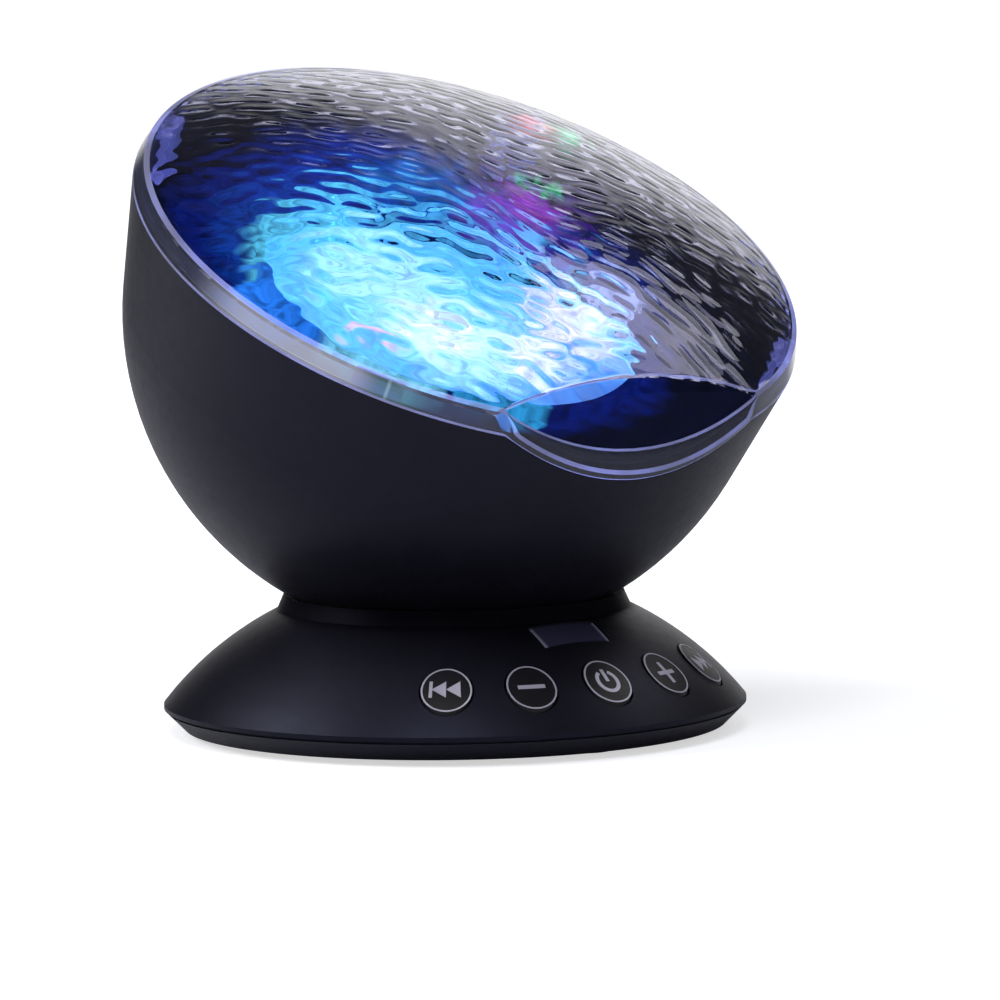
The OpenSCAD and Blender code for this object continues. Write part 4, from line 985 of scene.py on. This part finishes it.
    def make_camera(self, scene, view):
        """Camera on a sphere round the aim point, rolled, then swung to bring that off the middle."""
        flat = math.cos(view.elevation)
        side, front = math.sin(view.azimuth), math.cos(view.azimuth)
        back = Vector((side * flat, -front * flat, math.sin(view.elevation)))
        right = Vector((front, side, 0))
        up = back.cross(right)
        right, up = (
            right * math.cos(view.roll) + up * math.sin(view.roll),
            up * math.cos(view.roll) - right * math.sin(view.roll),
        )
        place = Vector((0, 0, view.aim_height)) + back * view.distance
        sight = -back + right * (view.aim_right / view.focal) - up * (view.aim_down / view.focal)
        sight.normalize()
        right = sight.cross(up).normalized()
        up = right.cross(sight)
        data = bpy.data.cameras.new("camera")
        data.sensor_width = SENSOR_MM
        data.lens = data.sensor_width * view.focal
        camera = bpy.data.objects.new("camera", data)
        turned = Matrix((right, up, -sight)).transposed().to_4x4()
        camera.matrix_world = Matrix.Translation(place) @ turned
        scene.collection.objects.link(camera)
        scene.camera = camera


class PROJECTOR_OT_dome(bpy.types.Operator):
    """Clear dome with its water relief, skirt, front window and snap tabs"""

    bl_idname = "projector.dome"
    bl_label = "Rippled dome"

    def execute(self, context):
        scene = context.scene
        points, finish = dome_rows(scene.projector_dome)
        rows, columns = points.shape[:2]
        faces = sheet_faces(rows, columns, True)
        slots = finish[:-1].ravel()
        dome = put_mesh("dome_rippled", points, faces, slots)
        tint = scene.projector_colours.dome
        cap = self.cap_finish(tint, scene.projector_dome)
        edge = self.edge_finish("acrylic_clear_edge_lit", tint, 0.08, 0.45)
        for made in (cap, self.skirt_finish(), self.window_finish(tint), edge):
            dome.data.materials.append(made)
        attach(dome, "head")
        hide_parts("dome_cover")
        self.make_tabs(self.edge_finish("acrylic_clear_tab_lit", tint, 0.02, 0.16))
        return {"FINISHED"}

    def make_tabs(self, finish):
        """Four snap tabs, each a leaf, a root on the skirt and a hook below."""
        points, faces = [], []
        for angle in TAB_ANGLES:
            turn = math.radians(angle)
            for low, high in tab_boxes():
                corners = np.where(BOX_CORNERS, high, low)
                x = corners[:, 0] * math.sin(turn) + corners[:, 1] * math.cos(turn)
                y = -corners[:, 0] * math.cos(turn) + corners[:, 1] * math.sin(turn)
                faces.append(BOX_FACES + len(corners) * len(points))
                points.append(head_points(np.hypot(x, y), np.arctan2(x, -y), corners[:, 2]))
        mesh = bpy.data.meshes.new("dome_tabs")
        mesh.from_pydata(np.concatenate(points), [], np.concatenate(faces))
        tabs = bpy.data.objects.new("dome_tabs", mesh)
        bpy.context.scene.collection.objects.link(tabs)
        mesh.materials.append(finish)
        round_off = tabs.modifiers.new("round", "BEVEL")
        round_off.width = TAB_ROUND * MM
        round_off.segments = 2
        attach(tabs, "head")

    def cap_finish(self, tint, sizes):
        """Clear acrylic, injection moulded in a polished wave mould: sharp gloss, faint flow haze."""
        made, tree, shader, place = material("acrylic_clear_rippled")
        put(
            shader, Base_Color=tint, Transmission_Weight=1.0,
            IOR=ACRYLIC_IOR, Specular_Tint=linear("#d6d5ff"),
        )
        haze = grain(tree, place, 7.0, high=0.03)
        tree.links.new(haze, shader.inputs["Roughness"])
        # Lamp light caught in the ripples, as faint patches of blue, violet, green and red
        own = head_place(tree, place)
        field = light_patches(tree, own, "#010208", RIPPLE_PATCHES, ragged=20, grain_mm=3.5)
        tree.links.new(field, shader.inputs["Emission Color"])
        # It comes and goes in streaks along the ripples, 6 mm long and 2 mm wide
        streaks = add(
            tree,
            "ShaderNodeMapping",
            {"Vector": own, "Rotation": (0, 0, sizes.heading), "Scale": (6, 2, 1)},
            vector_type="TEXTURE",
        )
        strength = grain(tree, streaks.outputs[0], 1.0, low=0.1, high=0.9)
        tree.links.new(strength, shader.inputs["Emission Strength"])
        return made

    def skirt_finish(self):
        """The same acrylic on the skirt, milky from the fine satin of a plain mould wall."""
        made, tree, shader, place = material("acrylic_milky_satin")
        put(
            shader, Base_Color=linear("#70748a"), Transmission_Weight=0.84,
            IOR=ACRYLIC_IOR, Emission_Strength=1.0,
        )
        # Painted light: lamp light led into the milky wall on the left, and a painted highlight along the
        # line where the mould's halves met
        own = head_place(tree, place)
        field = light_patches(tree, own, "#04050a", SKIRT_PATCHES, ragged=5, grain_mm=8)
        seam_way = (math.cos(SEAM_TURN), math.sin(SEAM_TURN), 0)
        aside = add(tree, "ShaderNodeVectorMath", {0: own, 1: seam_way}, operation="DOT_PRODUCT")
        aside = add(tree, "ShaderNodeMath", {0: aside.outputs["Value"]}, operation="ABSOLUTE")
        # A painted highlight along the mould line, glowing pale
        span = {0: aside.outputs[0], 1: SEAM_HALF, 2: SEAM_CORE, 4: SEAM_HIGHLIGHT_SHARE}
        seam_highlight = add(tree, "ShaderNodeMapRange", span).outputs[0]
        lit = add(tree, "ShaderNodeMix", {0: seam_highlight, 6: field, 7: linear("#a6c4cc")}, data_type="RGBA")
        tree.links.new(lit.outputs[2], shader.inputs["Emission Color"])
        satin = grain(tree, place, 1.2, low=0.12, high=0.22)
        tree.links.new(satin, shader.inputs["Roughness"])
        return made

    def edge_finish(self, name, tint, low, high):
        """The same acrylic on rounded edges and tabs, which glow with the light led through it."""
        made, tree, shader, place = material(name)
        put(
            shader, Base_Color=tint, Transmission_Weight=0.8,
            IOR=ACRYLIC_IOR, Emission_Color=linear("#8c98ff"),
        )
        rubbed = grain(tree, place, 2.0, low=0.05, high=0.15)
        tree.links.new(rubbed, shader.inputs["Roughness"])
        piped = grain(tree, place, 14.0, low=low, high=high)
        tree.links.new(piped, shader.inputs["Emission Strength"])
        return made

    def window_finish(self, tint):
        """The same acrylic on the flat window, polished like a lens: clear, with a dim reflection."""
        made, tree, shader, place = material("acrylic_clear_polished")
        put(
            shader, Base_Color=tint, Transmission_Weight=1.0,
            IOR=ACRYLIC_IOR, Specular_Tint=linear("#5a5f96"),
        )
        rubbed = grain(tree, place, 3.0, high=0.02)
        tree.links.new(rubbed, shader.inputs["Roughness"])
        return made


class PROJECTOR_OT_key_marks(bpy.types.Operator):
    """Printed ring and sign on each key"""

    bl_idname = "projector.key_marks"
    bl_label = "Key marks"

    def execute(self, context):
        scene = context.scene
        sizes = scene.projector_marks
        # Silver ink, pad printed: a soft metal sheen, a little uneven where the ink is thin
        ink = textured(
            "ink_silver_printed", scene.projector_colours.ink, linear("#a5a3b5"),
            roughness=0.42, grain_mm=0.2, bump_mm=0.01, Metallic=0.35,
        )
        for number, sign in enumerate(KEY_NAMES):
            turn = -math.pi / 2 + (number - len(KEY_NAMES) // 2) * KEY_STEP
            ring = arc(sizes.ring_w, sizes.ring_h, 0, 360, sizes.line, steps=RING_STEPS)
            strokes = [ring, *sign_strokes(sign, sizes)]
            points, faces, total = [], [], 0
            for path, width, closed in strokes:
                spots, quads = stroke(path, width, sizes.thickness, turn, closed)
                faces += [[corner + total for corner in quad] for quad in quads]
                points.append(spots)
                total += len(spots)
            mark = put_mesh(f"mark_{sign}", np.concatenate(points), faces)
            mark.data.materials.append(ink)
            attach(mark, f"{sign}_key")
        return {"FINISHED"}


class PROJECTOR_OT_wave_light(bpy.types.Operator):
    """Light in the wave lens, in patches of white, cyan, blue and violet"""

    bl_idname = "projector.wave_light"
    bl_label = "Wave light"

    def execute(self, context):
        strength = context.scene.projector_colours.glow
        self.lens_light(strength)
        self.deck_light(strength)
        # White acetal of the wheel's toothed ring and its pinion, lit by the lamps under the deck
        acetal = textured(
            "acetal_white_lit", linear("#e9e8e3"), linear("#deddd6"),
            roughness=0.42, grain_mm=0.5, bump_mm=0.008,
            IOR=1.48, Emission_Color=linear("#4cc6f2"), Emission_Strength=0.8 * strength,
        )
        finish_nodes(acetal, "wave_ring", "drive_pinion")
        # Zinc-plated axle and its clip in the middle of the lens, lit by it from all round
        zinc = textured(
            "steel_zinc_lit", linear("#b9bcc2"), linear("#9da1a8"),
            roughness=0.32, grain_mm=0.3, bump_mm=0.006,
            Metallic=1.0, Emission_Color=linear("#d8fbff"), Emission_Strength=0.9 * strength,
        )
        finish_nodes(zinc, "wheel_axle", "axle_clip")
        return {"FINISHED"}

    def lens_light(self, strength):
        """Wave lens lit from below: cyan, white in the middle, blue outside, stray pink and lilac, and
        painted shade over its front.
        """
        made, tree, shader, place = material("acrylic_wave_lens_lit")
        put(shader, Base_Color=linear("#9fd8ff"), Roughness=0.15, IOR=ACRYLIC_IOR)
        own = head_place(tree, place)
        field = light_patches(tree, own, "#2f8cf0", LENS_PATCHES, ragged=18, grain_mm=9)
        tree.links.new(field, shader.inputs["Emission Color"])
        threads = grain(tree, own, 3.0, detail=5.0, low=0.6 * strength, high=1.7 * strength)
        tree.links.new(threads, shader.inputs["Emission Strength"])
        finish_nodes(made, "wave_lens")

    def deck_light(self, strength):
        """Deck in dull moulded black, with the lamps' blue spilled over it round the opening."""
        made, tree, shader, place = material("abs_black_deck_lit")
        put(shader, Base_Color=linear("#07080e"), Roughness=0.8, Specular_IOR_Level=0.04)
        own = head_place(tree, place)
        field = light_patches(tree, own, "#030616", DECK_PATCHES, ragged=12, grain_mm=8, core=0.85)
        tree.links.new(field, shader.inputs["Emission Color"])
        threads = grain(tree, own, 3.0, detail=5.0, low=0.4 * strength, high=1.5 * strength)
        tree.links.new(threads, shader.inputs["Emission Strength"])
        finish_nodes(made, "inner_deck")


class PROJECTOR_OT_shell(bpy.types.Operator):
    """Moulded black shells, keys, window, feet and sockets"""

    bl_idname = "projector.shell"
    bl_label = "Shell finishes"

    def execute(self, context):
        # Black ABS from a spark-eroded mould: satin, with a fine even grain. The real grain of about
        # 0.05 mm is drawn 0.3 mm wide, so that it shows at the picture's scale
        shell = textured(
            "abs_black_spark_eroded", context.scene.projector_colours.shell, linear("#101016"),
            roughness=0.44, grain_mm=0.3, bump_mm=0.012,
            IOR=1.5, Specular_IOR_Level=SATIN_LEVEL, Specular_Tint=linear("#c6c9ff"),
        )
        finish_nodes(shell, "bowl_shell", "base_tray")
        finish_nodes(self.bell_finish(shell), "base_bell")
        # The same plastic inside, from a mould wall left rough: duller and a little darker
        inner = textured(
            "abs_black_inner", linear("#08080b"), linear("#0d0d12"),
            roughness=0.6, grain_mm=0.4, bump_mm=0.01, IOR=1.5, Specular_IOR_Level=0.25,
        )
        finish_nodes(inner, "light_carrier")
        # Key caps from a finer mould: a little smoother than the shell round them
        keys = textured(
            "abs_black_key", linear("#101016"), linear("#14131a"),
            roughness=0.38, grain_mm=0.2, bump_mm=0.006, IOR=1.5, Specular_IOR_Level=0.32,
        )
        finish_nodes(keys, *(f"key_{name}" for name in KEY_NAMES))
        finish_nodes(self.window_finish(), "ir_window")
        # Moulded rubber: dull all over, with a soft coarse grain
        feet = textured(
            "rubber_black_foot", linear("#0d0d0e"), linear("#131314"),
            roughness=0.82, grain_mm=0.35, bump_mm=0.03, Specular_IOR_Level=0.25,
        )
        finish_nodes(feet, "rubber_feet")
        # Black nylon of the small electric parts: plain, with a low sheen
        socket = textured(
            "nylon_black_socket", linear("#0e0e10"), linear("#151518"),
            roughness=0.5, grain_mm=0.4, bump_mm=0.01,
        )
        finish_nodes(socket, "audio_jack", "tact_switches", "ir_receiver")
        # Tinned steel of the power socket: bright, with soft-edged reflections
        tin = textured(
            "steel_tinned_socket", linear("#c3c4c8"), linear("#adafb5"),
            roughness=0.28, grain_mm=0.6, bump_mm=0.004, Metallic=1.0,
        )
        finish_nodes(tin, "usb_socket")
        return {"FINISHED"}

    def bell_finish(self, shell):
        """The shell's finish on the bell, its gloss turned down on the lip: painted shade that keeps the
        neck dark under the bowl.
        """
        bell = shell.copy()
        bell.name = "abs_black_bell_painted_shade_lip"
        tree = bell.node_tree
        shader = tree.nodes["Principled BSDF"]
        place = add(tree, "ShaderNodeTexCoord").outputs["Object"]
        high = add(tree, "ShaderNodeSeparateXYZ", {0: place}).outputs["Z"]
        # Painted shade: the gloss falls away up the lip, under the bowl
        span = {0: high, 1: LIP_SHADE_LOW * MM, 2: LIP_SHADE_HIGH * MM, 3: SATIN_LEVEL, 4: LIP_SHADE_LEVEL}
        painted_shade = add(tree, "ShaderNodeMapRange", span)
        tree.links.new(painted_shade.outputs[0], shader.inputs["Specular IOR Level"])
        return bell

    def window_finish(self):
        """Remote window in polished acrylic, black to the eye, with a violet cast and painted highlights
        at its two ends.
        """
        window, tree, shader, place = material("acrylic_dark_polished")
        half = add(tree, "ShaderNodeVectorMath", {0: place}, operation="ABSOLUTE").outputs[0]
        half = add(tree, "ShaderNodeSeparateXYZ", {0: half}).outputs["X"]
        # Painted highlights: the window's two ends turn pale grey
        end = add(tree, "ShaderNodeMapRange", {0: half, 1: HIGHLIGHT_FROM, 2: HIGHLIGHT_TO}).outputs[0]
        tones = {0: end, 6: linear("#34334a"), 7: linear("#8d8ba3")}
        tone = add(tree, "ShaderNodeMix", tones, data_type="RGBA")
        tree.links.new(tone.outputs[2], shader.inputs["Base Color"])
        tree.links.new(grain(tree, place, 2.0, low=0.1, high=0.16), shader.inputs["Roughness"])
        put(shader, IOR=ACRYLIC_IOR)
        return window


class PROJECTOR_OT_inside(bpy.types.Operator):
    """Boards, lamps, drive, speaker and screws"""

    bl_idname = "projector.inside"
    bl_label = "Inner finishes"

    def execute(self, context):
        self.metal_finishes()
        self.board_finishes()
        self.speaker_finishes()
        # Acetal, moulded in its natural white: waxy, with a soft sheen
        acetal = textured(
            "acetal_white_moulded", linear("#e9e8e3"), linear("#deddd6"),
            roughness=0.42, grain_mm=0.5, bump_mm=0.008, IOR=1.48,
        )
        finish_nodes(acetal, "seat_ring", "tilt_saddle", "head_plug")
        return {"FINISHED"}

    def metal_finishes(self):
        """Screws and bolt, the clamp's spring, and the motor's can."""
        # Zinc-plated steel: bright grey, with a softly uneven gloss
        zinc = textured(
            "steel_zinc_screw", linear("#b9bcc2"), linear("#9da1a8"),
            roughness=0.32, grain_mm=0.3, bump_mm=0.006, Metallic=1.0,
        )
        screws = ("base_screws", "board_screws", "deck_screws", "carrier_screws", "led_screws")
        finish_nodes(zinc, *screws, "motor_screws", "tilt_bolt", "saddle_nut")
        # Rolled spring steel: darker than the zinc, and as smooth
        spring = textured(
            "steel_spring_rolled", linear("#8f939a"), linear("#7b8087"),
            roughness=0.3, grain_mm=0.5, bump_mm=0.006, Metallic=1.0,
        )
        finish_nodes(spring, "saddle_spring")
        # Drawn and plated can: the smoothest of the metals, with clear reflections
        can = textured(
            "steel_can_drawn", linear("#b4b7bd"), linear("#c6c8cd"),
            roughness=0.26, grain_mm=0.8, bump_mm=0.006, Metallic=1.0,
        )
        finish_nodes(can, "gear_motor")

    def board_finishes(self):
        """The two boards, and the lamps on the upper one."""
        # Solder mask of the main board: deep green under a thin gloss
        green = textured(
            "board_green_mask", linear("#124a2c"), linear("#0d3a22"),
            roughness=0.35, grain_mm=0.8, bump_mm=0.01,
        )
        finish_nodes(green, "main_board")
        # White mask of the lamp board: pale, to throw the light back up
        white = textured(
            "board_white_mask", linear("#e6e6e2"), linear("#dcdcd8"),
            roughness=0.4, grain_mm=0.8, bump_mm=0.01,
        )
        finish_nodes(white, "led_board")
        # Lamps cast in clear epoxy: glossy, and white with their own light
        epoxy = textured(
            "epoxy_clear_lamp", linear("#f2f8ff"), linear("#e6f2ff"),
            roughness=0.15, grain_mm=0.8, bump_mm=0.004,
            IOR=1.55, Emission_Color=linear("#c9f2ff"), Emission_Strength=2.0,
        )
        finish_nodes(epoxy, "led_lamps")

    def speaker_finishes(self):
        """The speaker's frame and its cone."""
        # Lacquered steel: black with an even sheen
        lacquer = textured(
            "steel_black_lacquer", linear("#1d1d20"), linear("#26262a"),
            roughness=0.45, grain_mm=0.6, bump_mm=0.01,
        )
        finish_nodes(lacquer, "speaker_frame")
        # Pressed paper: black, dull and faintly fibrous
        paper = textured(
            "paper_black_pressed", linear("#161617"), linear("#202021"),
            roughness=0.85, grain_mm=0.5, bump_mm=0.05,
        )
        finish_nodes(paper, "speaker_cone")


class PROJECTOR_PT_pieces(bpy.types.Panel):
    """Lists the projector's pieces and their sizes"""

    bl_idname = "PROJECTOR_PT_pieces"
    bl_label = "Ocean wave projector"
    bl_space_type = "VIEW_3D"
    bl_region_type = "UI"
    bl_category = "Projector"

    def draw(self, context):
        for group_name in GROUPS:
            group = getattr(context.scene, group_name)
            box = self.layout.box()
            for name in group.__annotations__:
                box.prop(group, name)
        for operator in OPERATORS:
            self.layout.operator(operator.bl_idname)


GROUPS = {
    "projector_dome": DomeSizes,
    "projector_marks": MarkSizes,
    "projector_colours": ShellColours,
    "projector_view": CameraView,
}
OPERATORS = (
    PROJECTOR_OT_stage,
    PROJECTOR_OT_dome,
    PROJECTOR_OT_key_marks,
    PROJECTOR_OT_wave_light,
    PROJECTOR_OT_shell,
    PROJECTOR_OT_inside,
)


def register():
    """Register the groups, the operators and the panel."""
    for name, group in GROUPS.items():
        bpy.utils.register_class(group)
        setattr(bpy.types.Scene, name, bpy.props.PointerProperty(type=group))
    for made in (*OPERATORS, PROJECTOR_PT_pieces):
        bpy.utils.register_class(made)


def unregister():
    """Take everything off again."""
    for made in (PROJECTOR_PT_pieces, *reversed(OPERATORS)):
        bpy.utils.unregister_class(made)
    for name, group in GROUPS.items():
        delattr(bpy.types.Scene, name)
        bpy.utils.unregister_class(group)


def main():
    """Make every piece in order."""
    register()
    bpy.ops.projector.stage()
    bpy.ops.projector.dome()
    bpy.ops.projector.key_marks()
    bpy.ops.projector.wave_light()
    bpy.ops.projector.shell()
    bpy.ops.projector.inside()


if __name__ == "__main__":
    main()
